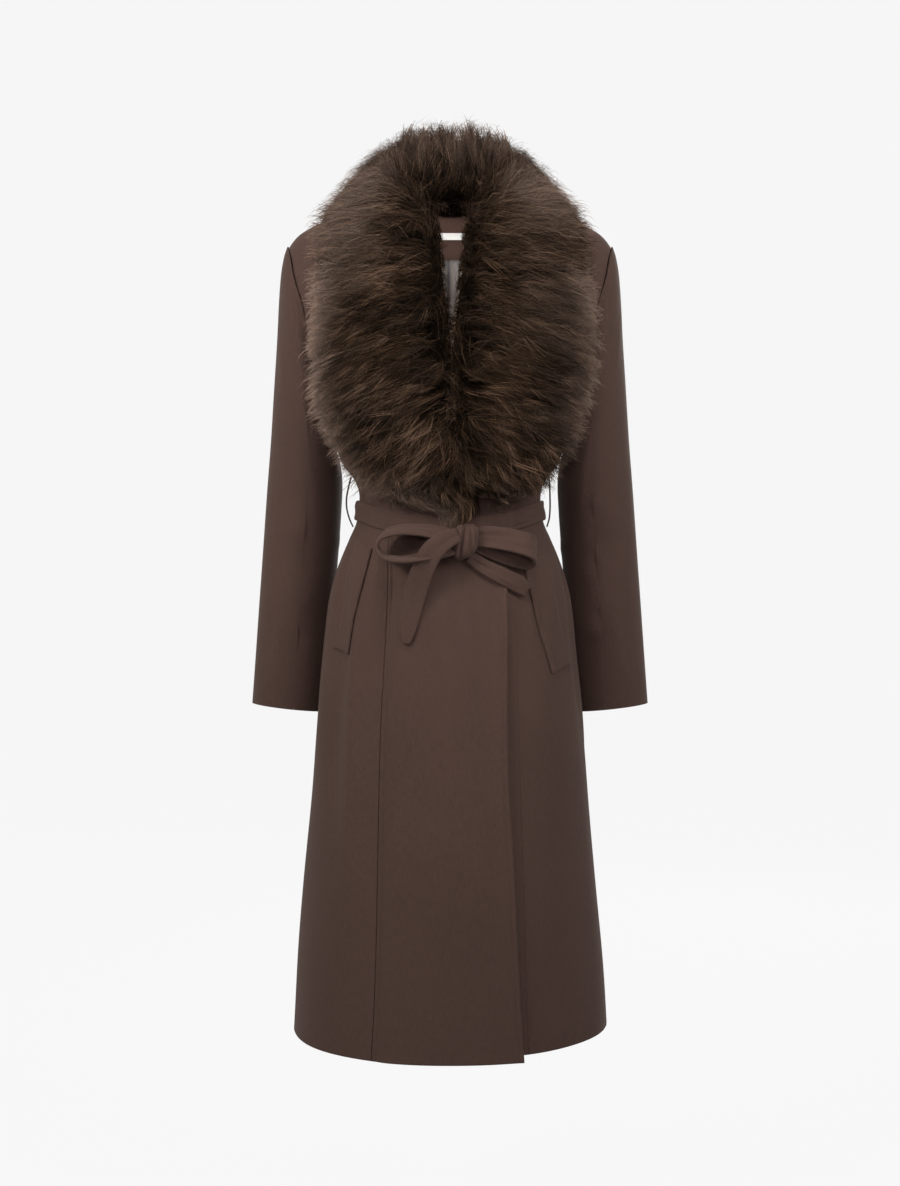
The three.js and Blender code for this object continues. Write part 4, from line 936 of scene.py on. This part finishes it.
def strandRibbons(places, hair, surface, chance):
    # Seven corners for each strand: three pairs and a tip, flat to the pile but for a roll of its own.
    under, outer, *_ = surface
    bottom, top = sampled(under, hair["a"], hair["t"]), sampled(outer, hair["a"], hair["t"])
    away = unit(top - lerp(bottom, top, 0.1))
    tangent = unit(np.gradient(places, axis=1))
    across = unit(np.cross(tangent, away[:, None]))
    roll = chance.normal(0, 0.45, len(places))[:, None, None]
    across = across * np.cos(roll) + np.cross(tangent, across) * np.sin(roll)
    half = pile["width"] * chance.uniform(0.7, 1.35, len(places))[:, None] * np.array(pile["taper"])
    half = half * 1
    left = places[:, :3] - across[:, :3] * half[..., None]
    right = places[:, :3] + across[:, :3] * half[..., None]
    pairs = [edge[:, k] for k in range(3) for edge in (left, right)]
    return np.stack([*pairs, places[:, 3]], 1)


def strandColours(side, hair, wispTone, chance):
    # Each strand's tone and frost: the rim is pale, with pale patches over the rest, a painted highlight
    # round the neck and painted shade at the opening.
    a, t, total = hair["a"], hair["t"], len(hair["a"])
    tip = t + hair["deltaT"] * hair["own"]
    rim = np.where(a < 0.44, 0.5 * ease(0.82, 0.97, tip), pile["rimFrost"][side] * ease(0.62, 0.84, tip))
    rim = rim * lerp(1, 0.35, ease(0.68, 0.82, a))
    # uneven patches, and a painted highlight all over round the neck, where light falls on the top of the
    # collar
    patch = np.clip(0.5 + 0.8 * np.sin(a * 23 + 2.2 * side) * np.sin(t * 7 + a * 9), 0, 1)
    patch = patch * lerp(0.3, 0.1, ease(0.3, 0.5, a)) + 0.3 * ease(0.44, 0.3, a)
    frostAndHighlight = rim + patch * ease(0.2, 0.5, t) + np.where(hair["guard"], 0.06, 0)
    frostAndHighlight = np.clip(frostAndHighlight + chance.normal(-0.02, 0.05, total) + 0.1 * wispTone, 0, 1)
    tone = 0.42 + wispTone + chance.normal(0, 0.12, total) - 0.2 * ease(0.3, 0.02, t)
    # the line above paints shade into the opening, and this one darkens the middle of the chest
    tone = tone - 0.1 * ease(0.4, 0.46, t) * ease(0.62, 0.56, t) * ease(0.4, 0.5, a)
    return np.clip(tone, 0, 1), frostAndHighlight


def makeFur(side, word):
    outer, under = collarGrids(side)
    chance = np.random.default_rng(pile["seed"] + side)
    makeBacking(side, word, outer, under)
    stepA = np.linalg.norm(np.gradient(outer, axis=0), axis=-1, keepdims=True) * collar["rowsAlong"]
    stepT = np.linalg.norm(np.gradient(outer, axis=1), axis=-1, keepdims=True) * collar["rowsAcross"]
    surface = (under, outer, stepA, stepT)
    wisps = gatherWisps(outer, chance)
    a, t = strandRoots(outer, chance)
    wisp = nearest(outer, a, t, wisps["a"], wisps["t"])
    deltaA, deltaT = wispReach(wisps, stepA, stepT, chance)
    hair = {"a": a, "t": t, "wispA": wisps["a"][wisp], "wispT": wisps["t"][wisp],
            "deltaA": deltaA[wisp], "deltaT": deltaT[wisp]}
    hair.update(strandTraits(a, t, wisps["high"][wisp], chance))
    places = np.stack([strandPoints(side, u, hair, surface) for u in pile["shares"]], 1)
    corners = strandRibbons(places, hair, surface, chance)
    tone, frostAndHighlight = strandColours(side, hair, wisps["tone"][wisp], chance)
    along = np.array(pile["shares"])[[0, 0, 1, 1, 2, 2, 3]]
    for part, inPart in {"neck": a < pile["chestFrom"], "chest": a >= pile["chestFrom"]}.items():
        keep = np.flatnonzero(inPart)
        base = (np.arange(len(keep)) * len(along))[:, None]
        faces = np.concatenate([base + [0, 1, 3, 2], base + [2, 3, 5, 4]]).tolist()
        faces += (base + [4, 5, 6]).tolist()
        piece = makePiece(f"fur_pile_{part}_{word}", corners[keep], faces, furPile)
        lanes = {"along": np.tile(along, len(keep)), "tone": np.repeat(tone[keep], len(along)),
                 "frostAndHighlight": np.repeat(frostAndHighlight[keep], len(along))}
        for key, values in lanes.items():
            lane = piece.data.attributes.new(key, "FLOAT", "POINT")
            lane.data.foreach_set("value", values.astype(np.float32))
        settle(piece, f"fur_collar_{word}")
        print("fur", part, word, len(keep), "strands")


# Pockets

welts = {
    "room": 0.9, "thickness": 2.4, "rowSpacing": 5, "columnSpacing": 3,
    # corners as distance from the centre and height: front top, front low, side top, side low
    "corners": {
        -1: ((97, -456), (127, -588), (115, -446), (147, -580)),
        1: ((90, -476), (125, -612), (117, -464), (149, -600)),
    },
}


def makeWelts():
    for word, side in sides.items():
        frontTop, frontLow, sideTop, sideLow = (np.array(c, float) for c in welts["corners"][side])
        long, wide = np.hypot(*(frontLow - frontTop)), np.hypot(*(sideTop - frontTop))
        up = spaced(long, plainEdge, plainEdge, welts["rowSpacing"])
        fromFront = spaced(wide, stitchedEdge, plainEdge, welts["columnSpacing"])
        if side < 0:
            fromFront = fromFront[::-1]
        down, over = (1 - up / long)[:, None, None], (fromFront / wide)[None, :, None]
        flat = lerp(lerp(frontTop, frontLow, down), lerp(sideTop, sideLow, down), over)
        x, z = flat[..., 0] * side, flat[..., 1]
        angle = frontAngle(x, z)
        fromEnd = np.minimum(up, long - up)[:, None]
        edge = np.minimum(np.minimum(fromFront, wide - fromFront)[None], fromEnd)
        base = welts["room"] + bodyCreases(angle, z)
        outer = outFrom(angle, z, base + welts["thickness"] + roundOff(edge) + stitchGroove(fromFront)[None])
        inner = outFrom(angle, z, base)
        piece = wallPiece(f"wool_pocket_welt_{word}", outer, inner, wool)
        settle(piece, f"pocket_welt_{word}")
        noteStitches(outer, int(np.argmin(np.abs(fromFront - seam["stitchLine"]))))


# Facing, lining and label at the back

inside = {
    "facing": {"z": (-65, -1), "spacing": (5, 6), "thickness": 1.6},
    "lining": {"z": (-1045, -65.3), "spacing": (14, 4.4), "thickness": 1},
    "label": {"z": (-43.2, -36.2), "spacing": (2, 3), "thickness": 0.6},
    "facingWidth": 92, "facingWidthZ": -20, "facingDrop": 3.5, "labelWidth": 22, "labelRoom": 0.4,
    "liningDrop": 6.5, "liningInset": 0.06, "hangsFrom": -100, "hangsTo": -65,
    "pleatAt": 180.6, "pleatWidth": 8, "pleatDepth": 5.5,
}


def insideGrids(name, start, end, lift):
    made = inside[name]
    low, high = made["z"]
    rowSpacing, columnSpacing = made["spacing"]
    rows = low + spaced(high - low, plainEdge, plainEdge, rowSpacing)
    return panelGrids(rows, start, end, lift=lift, thickness=made["thickness"], columnSpacing=columnSpacing)


def pleat(angle, z):
    # The lining's centre pleat is folded to one side, and opens downwards.
    across = (np.degrees(angle) - inside["pleatAt"]) * 1.9  # millimetres from the pleat's line
    fold = -inside["pleatDepth"] * np.exp(-(((across + 4) / inside["pleatWidth"]) ** 2)) * (across < 0)
    fold = fold + 1.5 * np.exp(-((across / 1.6) ** 2))
    ripple = 0.9 * np.sin(across / 5.2 + z / 60) * np.exp(-((across / 60) ** 2))
    return (fold + ripple) * ease(-66, -90, z) * ease(-1000, -500, z)


def makeInside():
    start, width = backAngle(inside["facingWidth"], inside["facingWidthZ"]), inside["labelWidth"]
    labelDrop = inside["facingDrop"] + inside["facing"]["thickness"] + inside["labelRoom"]

    def hung(drop):  # straight, past the folds of the coat
        return lambda angle, z: np.full(angle.shape, -drop) - bodyCreases(angle, z)

    outer, inner = insideGrids("facing", lambda z: np.full_like(z, start),
                               lambda z: np.full_like(z, 2 * np.pi - start), hung(inside["facingDrop"]))
    facing = wallPiece("wool_neck_facing", outer, inner, facingWoolPaintedLight)
    labelOuter, labelInner = insideGrids("label", lambda z: backAngle(width, z),
                                         lambda z: backAngle(-width, z), hung(labelDrop))
    label = wallPiece("satin_label", labelOuter, labelInner, labelSatin)
    settle(label, "neck_label")
    settle(facing, "back_neck_facing")
    for column in (1, -2):  # the label is tacked at both ends
        line = labelInner[:, column]
        stitchRuns.append((np.linspace(line[0], line[-1], 8), np.tile([0.0, -1.0, 0.0], (8, 1))))

    def fall(angle, z):
        upper = ease(inside["hangsFrom"], inside["hangsTo"], z)
        drop = lerp(inside["liningDrop"], inside["facingDrop"], upper)
        return -drop + pleat(angle, z) - bodyCreases(angle, z) * 0.5

    outer, inner = insideGrids("lining", lambda z: armholeAngle(z, False) + inside["liningInset"],
                               lambda z: 2 * np.pi - armholeAngle(z, False) - inside["liningInset"], fall)
    lining = wallPiece("satin_lining", outer, inner, liningSatin)
    settle(lining, "back_lining")


# Belt, its carriers and the bow

belt = {
    "sideZ": -404, "frontZ": -431, "backZ": -399, "halfHeight": 13, "thickness": 4.2, "room": 1,
    "ridge": 1.1, "steps": 300, "stepFrom": 2, "stepTo": 16, "degreeLength": 2.1,
    # creases pulled into the belt: degrees and height on it at each end, width, depth, bow
    "creases": [
        (-72, 9, -30, -6, 2.4, -1.6, 1.5), (-62, -2, -22, -10, 2.2, -1.3, -1),
        (-56, 12, -20, 3, 2.0, -1.2, 1), (-40, 8, -8, 2, 2.0, -1.4, 0.5), (-80, 2, -58, 6, 2.4, 1.0, 0),
        (74, 8, 30, -7, 2.4, -2.4, -1.5), (66, 12, 24, 1, 2.0, -2.2, 1), (58, -3, 18, -10, 2.2, -2.0, 1),
        (44, 9, 14, 5, 2.0, -1.8, -1), (82, 0, 64, 7, 2.4, 1.0, 0), (100, 6, 140, -4, 2.6, -1.1, 2),
        (120, -7, 165, 2, 2.4, -0.9, -1.5), (172, 8, 215, -2, 2.6, -1.1, 1.5),
        (200, -6, 240, 5, 2.4, -0.9, 1), (232, 9, 262, 1, 2.4, 1.0, -1),
    ],
}
# a doubled strip of cloth: its steps along, and the groove of its stitched edges as depth, place, width
strip = {"thickness": 4.6, "steps": {"loop": 78, "tail": 52}, "groove": (0.28, 4.5, 0.8)}


def makeBelt():
    angle = np.linspace(0, 2 * np.pi, belt["steps"], endpoint=False)[:, None]
    cosine = np.cos(angle)
    middle = lerp(belt["sideZ"], np.where(cosine > 0, belt["frontZ"], belt["backZ"]), cosine**2)
    turn = np.linspace(0, np.pi, 23)[None]
    share = np.sign(np.cos(turn)) * np.abs(np.cos(turn)) ** 0.5
    rise = np.sin(turn) ** 0.5
    degree = belt["degreeLength"]
    creases = onCloth(belt["creases"], degree)
    crease = creaseDepth(np.degrees(angle) * degree, share * belt["halfHeight"], creases, 360 * degree)
    # a soft ridge and a hollow along the band, which trade places round the waist
    swell = np.exp(-(((share - 0.4) / 0.4) ** 2)) - 0.5 * np.exp(-(((share + 0.3) / 0.4) ** 2))
    ridge = belt["ridge"] * np.sin(3 * angle + 0.6) * swell

    def place(at, out):
        z = middle + at * belt["halfHeight"]
        x = bodyPoint(angle, z)[..., 0]
        step = ease(belt["stepFrom"], belt["stepTo"], x - frontEdgeX(z))  # down from the front that laps over
        layers = liftOver(x, z) * (1 - step) * (cosine > 0)
        return outFrom(angle, z, layers + belt["room"] + out)

    over = place(share, rise * (belt["thickness"] + ridge + crease))
    back = place(np.linspace(-1, 1, 7)[None, 1:-1], np.zeros((1, 5)))
    band = loftPiece("wool_belt_band", np.concatenate([back, over], 1), wool, closed=True)
    return band, np.concatenate([over, over[:1]])[:, 3:-3]


def stripLoops(middle, across, half, creases=(), thickness=strip["thickness"]):
    # Sections of a doubled strip of cloth along a path, with its edges rounded and soft creases.
    along = unit(np.gradient(middle, axis=0))
    facing = unit(np.cross(along, across))
    side = unit(across)
    radius = np.minimum(thickness / 2, half * 0.6)[:, None]
    flat = np.linspace(-1, 1, 13)[None]
    arc = np.radians(np.array([-54, -18, 18, 54]))[None]
    wide = half[:, None] - radius
    turned, risen, level = wide + radius * np.cos(arc), radius * np.sin(arc), radius + 0 * flat
    s = np.concatenate([flat * wide, turned, -flat * wide, -turned], 1)
    h = np.concatenate([-level, risen, level, -risen], 1)
    down = np.concatenate([[0], np.cumsum(np.linalg.norm(np.diff(middle, axis=0), axis=-1))])[:, None]
    h = h + creaseDepth(down, s, creases)
    deep, inset, soft = strip["groove"]
    h = h - deep * np.exp(-(((wide + radius - np.abs(s) - inset) / soft) ** 2)) * np.sign(h)
    return middle[:, None] + side[:, None] * s[..., None] + facing[:, None] * h[..., None]


def frontY(x, z, out):
    angle = frontAngle(x, z)
    return bodyPoint(angle, z)[..., 1] + (coat["overlapLift"] + out) / bodyNormal(angle, z)[..., 1]


bow = {
    # middle, distance out from the coat, height, direction of the width, half width
    "loops": {
        "right": [
            (12, 15, -446, (0, 0.4, 0.9), 9), (-6, 19, -440, (0, 0.6, 0.8), 12),
            (-35, 25, -434, (0, 0.85, 0.5), 14), (-66, 26, -434, (0, 0.93, 0.35), 16),
            (-84, 26, -441, (0.1, 0.93, 0.3), 16), (-90, 26, -453, (0, 0.95, 0.25), 16),
            (-83, 26, -465, (-0.1, 0.95, 0.2), 16), (-62, 26, -470, (0, 0.95, 0.2), 15),
            (-35, 24, -467, (0, 0.9, 0.3), 14), (-6, 20, -460, (0, 0.7, 0.6), 11),
            (12, 15, -455, (0, 0.5, 0.8), 8),
        ],
        "left": [
            (26, 14, -443, (0, 0.1, 1), 11), (42, 20, -442, (0, 0.2, 1), 13.5),
            (68, 27, -445, (-0.1, 0.35, 1), 15.5), (90, 29, -450, (-0.15, 0.4, 1), 17),
            (101, 26, -454, (-0.1, 0.35, 1), 18), (105, 19, -459, (0, 0.2, 1), 19),
            (98, 11, -463, (0, 0.05, 1), 19), (72, 8, -462, (0, 0.1, 1), 16),
            (44, 8, -455, (0, 0.2, 1), 12), (27, 9, -449, (0, 0.3, 1), 9),
        ],
    },
    # middle, distance out from the coat, height, half width
    "tails": {
        "right": [
            (10, 30, -440, 9), (-6, 36, -447, 12), (-22, 34, -461, 14), (-33, 22, -482, 14.5),
            (-41, 10, -508, 14), (-47, 5.5, -532, 13), (-51, 5, -553, 11), (-53, 4.6, -567, 7.5),
            (-54, 4.6, -573, 5),
        ],
        "left": [
            (24, 5, -466, 8), (41, 4.8, -478, 9.5), (62, 4.8, -489, 10.5), (84, 5.2, -500, 11),
            (96, 5.2, -508, 9),
        ],
    },
    # creases: distance along and across at each end, width, depth, bow
    "creases": {
        "loop_right": [
            (0, 2, 60, -3, 2.4, -1.4, 1), (150, -2, 235, 3, 2.4, -1.4, 1), (70, 6, 110, 2, 3, 1.0, 0),
        ],
        "loop_left": [
            (0, 1, 62, 7, 2.6, -2.2, 1.5), (4, -4, 70, -8, 2.6, -1.8, -1), (10, 6, 52, 14, 2.2, 1.3, 0),
            (95, 4, 150, 0, 2.4, -1.4, 1), (60, -3, 84, 3, 3.5, 1.1, 0),
        ],
        "tail_right": [
            (0, 0, 46, 3, 2.6, -1.5, -1), (20, -6, 90, -7, 2.6, 0.8, 1), (60, 4, 120, 1, 3.5, -0.8, 1),
        ],
        "tail_left": [(0, 0, 40, 2, 2.4, -1.3, 1), (30, -3, 78, -4, 2.6, 0.7, 0)],
    },
    "knot": {"x": 19, "z": -447, "halfWidth": 17.5, "halfHeight": 21, "halfDepth": 13, "squareness": 0.82,
             # folds between its wraps: middle, lean, width, height
             "folds": [(-3.5, 0.16, 1.7, -5.2), (-10, 0.12, 3.2, 1.8), (2.2, 0.1, 2.4, 1.6),
                       (6.5, -0.02, 1.4, -2.6), (11, -0.1, 3, 1.4)]},
}


def makeStraps(kind):
    for word, rows in bow[f"{kind}s"].items():
        at = np.linspace(0, 1, strip["steps"][kind] + 1)
        path = curveAlong([(x, float(frontY(x, z, out)), z) for x, out, z, *_ in rows], at)
        half = smooth([(i, row[-1]) for i, row in enumerate(rows)])(at * (len(rows) - 1))
        if kind == "loop":
            across = curveAlong([row[3] for row in rows], at)
        else:  # a tail lies facing the front
            along = unit(np.gradient(path, axis=0))
            across = np.cross(unit(np.array([0.0, -1.0, 0.0]) + along * along[:, 1:2]), along)
        loops = stripLoops(path, across, half, bow["creases"][f"{kind}_{word}"])
        piece = loftPiece(f"wool_belt_{kind}_{word}", loops, wool)
        settle(piece, f"belt_{kind}_{word}")


def makeKnot():
    knot = bow["knot"]
    onCoat = frontY(knot["x"], knot["z"] - 0.7 * knot["halfHeight"], 0.8)
    back = min(float(onCoat), float(frontY(knot["x"], belt["frontZ"], 7.5)))
    rise = np.radians(np.linspace(-88, 88, 41))[:, None]
    turn = np.linspace(0, 2 * np.pi, 64, endpoint=False)[None]
    ball = np.stack([np.cos(rise) * np.cos(turn), np.cos(rise) * np.sin(turn), np.sin(rise) + 0 * turn], -1)
    boxy = np.sign(ball) * np.abs(ball) ** knot["squareness"]
    # two wraps: the one on the wearer's right is narrow and hangs lower, the other is wide
    z = boxy[..., 2] * knot["halfHeight"]
    x = boxy[..., 0] * knot["halfWidth"] * (1 - 0.1 * np.cos(ball[..., 2] * 2.4)) + 0.1 * z
    z = z - 4 * np.exp(-(((x + 9) / 7) ** 2)) * ease(0, -18, z) + 5 * ease(4, 17, x) * ease(-4, -18, z)
    fold = sum(high * np.exp(-(((x - middle - lean * z) / wide) ** 2))
               for middle, lean, wide, high in knot["folds"])
    y = boxy[..., 1] * knot["halfDepth"] - fold * (ball[..., 1] < 0) * np.cos(rise) ** 0.5
    loops = np.stack([knot["x"] + x, back - knot["halfDepth"] + y, knot["z"] + z], -1)
    piece = loftPiece("wool_belt_knot", loops, wool)
    return settle(piece, "belt_knot")


carriers = {
    "width": 9, "thickness": 1.8,
    "points": {
        -1: [(128.6, -360), (131.5, -372), (134.5, -388), (134, -402), (130.5, -415), (126, -425)],
        1: [(128.6, -360), (129.6, -373), (130, -388), (130, -402), (129, -414), (126, -425)],
    },
}


def makeBeltSet():
    band, sheet = makeBelt()
    makeStraps("loop")
    makeStraps("tail")
    extras = [makeKnot()]
    for word, side in sides.items():
        path = curveAlong([(x * side, 0, z) for x, z in carriers["points"][side]], np.linspace(0, 1, 40))
        across = np.tile([0.0, 1.0, 0.0], (len(path), 1))
        half = np.full(len(path), carriers["width"] / 2)
        loops = stripLoops(path, across, half, thickness=carriers["thickness"])
        carrier = loftPiece(f"wool_belt_carrier_{word}", loops, wool)
        extras.append(settle(carrier, f"belt_carrier_{word}"))
    settle(band, "belt_band")


# Stitching

stitch = {"length": 2.5, "pitch": 3.5, "width": 0.5, "height": 0.42, "sink": 0.06}


def makeStitches():
    # One stitch is a small six-sided bar with pinched ends; all are one mesh.
    shape = np.array([(t, w * wide, h) for t, wide in ((0, 0.5), (0.22, 1), (0.78, 1), (1, 0.5))
                      for w, h in ((-0.5, 0), (-0.3, 0.8), (0.3, 0.8), (0.5, 0))])
    side = [[4 * i + j, 4 * i + j + 4, 4 * i + j + 5, 4 * i + j + 1] for i in range(3) for j in range(3)]
    side += [[4 * i + 3, 4 * i + 7, 4 * i + 4, 4 * i] for i in range(3)] + [[0, 1, 2, 3], [15, 14, 13, 12]]
    points, faces, count = [], [], 0
    for line, normal in stitchRuns:
        path = np.concatenate([[0], np.cumsum(np.linalg.norm(np.diff(line, axis=0), axis=-1))])
        start = np.arange(stitch["pitch"] / 2, path[-1] - stitch["length"], stitch["pitch"])
        ends = [np.stack([np.interp(at, path, line[:, k]) for k in range(3)], -1)
                for at in (start, start + stitch["length"])]
        up = unit(np.stack([np.interp(start, path, normal[:, k]) for k in range(3)], -1))
        across = unit(np.cross(ends[1] - ends[0], up))
        placed = (ends[0][:, None] + (ends[1] - ends[0])[:, None] * shape[None, :, :1]
                  + across[:, None] * shape[None, :, 1:2] * stitch["width"]
                  + up[:, None] * (shape[None, :, 2:] * stitch["height"] - stitch["sink"]))
        first = count + len(shape) * np.arange(len(start))
        faces.append((np.array(side)[None, :, ::-1] + first[:, None, None]).reshape(-1, 4))
        points.append(placed.reshape(-1, 3))
        count += len(shape) * len(start)
    piece = makePiece("topstitching", np.concatenate(points), np.concatenate(faces).tolist(), thread)
    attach(piece, "root")


# Camera, floor and light

studio = {
    "floorZ": -1.34, "floorHalf": 9.0, "paper": 0.012, "glow": 0.909, "world": 0.92,
    # place, size, power, colour, height aimed at, spread in degrees
    "lights": [
        ((-2.4, -2.1, 1.1), 1.0, 38, (1.0, 0.98, 0.95), -0.26, 74),
        ((2.5, -2.1, 1.0), 1.0, 25, (1.0, 0.99, 0.975), -0.32, 74),
        ((-0.2, -2.2, 2.1), 0.9, 9, (1.0, 0.99, 0.975), -0.3, 60),
        ((0.0, -3.0, -0.05), 0.5, 2.3, (1.0, 0.99, 0.975), -0.06, 26),
        ((0.2, 1.3, 1.7), 1.3, 16, (1.0, 1.0, 1.0), 0.0, 180),
        ((0.9, 3.2, 0.5), 1.6, 100, (1.0, 0.99, 0.98), -0.5, 180),
    ],
}


def makeStudio():
    eye = bpy.data.cameras.new("photoCamera")
    eye.sensor_width = camera["sensor"]
    eye.lens = camera["lens"]
    holder = bpy.data.objects.new("photoCamera", eye)
    holder.location = (0, -camera["distance"] * metre, camera["height"] * metre)
    holder.rotation_euler = (np.pi / 2, 0, 0)
    bpy.context.scene.collection.objects.link(holder)
    bpy.context.scene.camera = holder
    bpy.context.scene.view_settings.view_transform = "Standard"

    paper, tree, shader, _ = newMaterial("studioPaper")
    feed(tree, shader, {
        "Base Color": (*[studio["paper"]] * 3, 1), "Roughness": 1.0, "Specular IOR Level": 0.0,
        "Emission Color": (1, 1, 1, 1), "Emission Strength": studio["glow"],
    })
    half = studio["floorHalf"]
    corners = [(x * half, y * half, studio["floorZ"]) for x, y in ((-1, -1), (1, -1), (1, 1), (-1, 1))]
    makePiece("studioFloor", np.array(corners) / metre, [[0, 1, 2, 3]], paper)

    world = bpy.data.worlds.new("studioWorld")
    world.use_nodes = True
    feed(world.node_tree, world.node_tree.nodes["Background"],
         {"Color": (1, 1, 1, 1), "Strength": studio["world"]})
    bpy.context.scene.world = world
    for i, (place, size, power, colour, aimZ, spread) in enumerate(studio["lights"]):
        lamp = bpy.data.lights.new(f"softLight{i}", "AREA")
        lamp.size, lamp.energy, lamp.color = size, power, colour
        lamp.spread = np.radians(spread)
        holder = bpy.data.objects.new(f"softLight{i}", lamp)
        holder.location = place
        aim = Vector((0, 0, aimZ)) - Vector(place)
        holder.rotation_euler = aim.to_track_quat("-Z", "Y").to_euler()
        bpy.context.scene.collection.objects.link(holder)


makeStudio()
print("studio ready")
makePanels()
print("body panels ready")
makeSleeves()
print("sleeves ready")
makeWelts()
makeInside()
print("pockets, facing, lining and label ready")
makeBeltSet()
print("belt and bow ready")
makeStitches()
print("stitching ready")
for word, side in sides.items():
    makeFur(side, word)
print("fur collar ready")
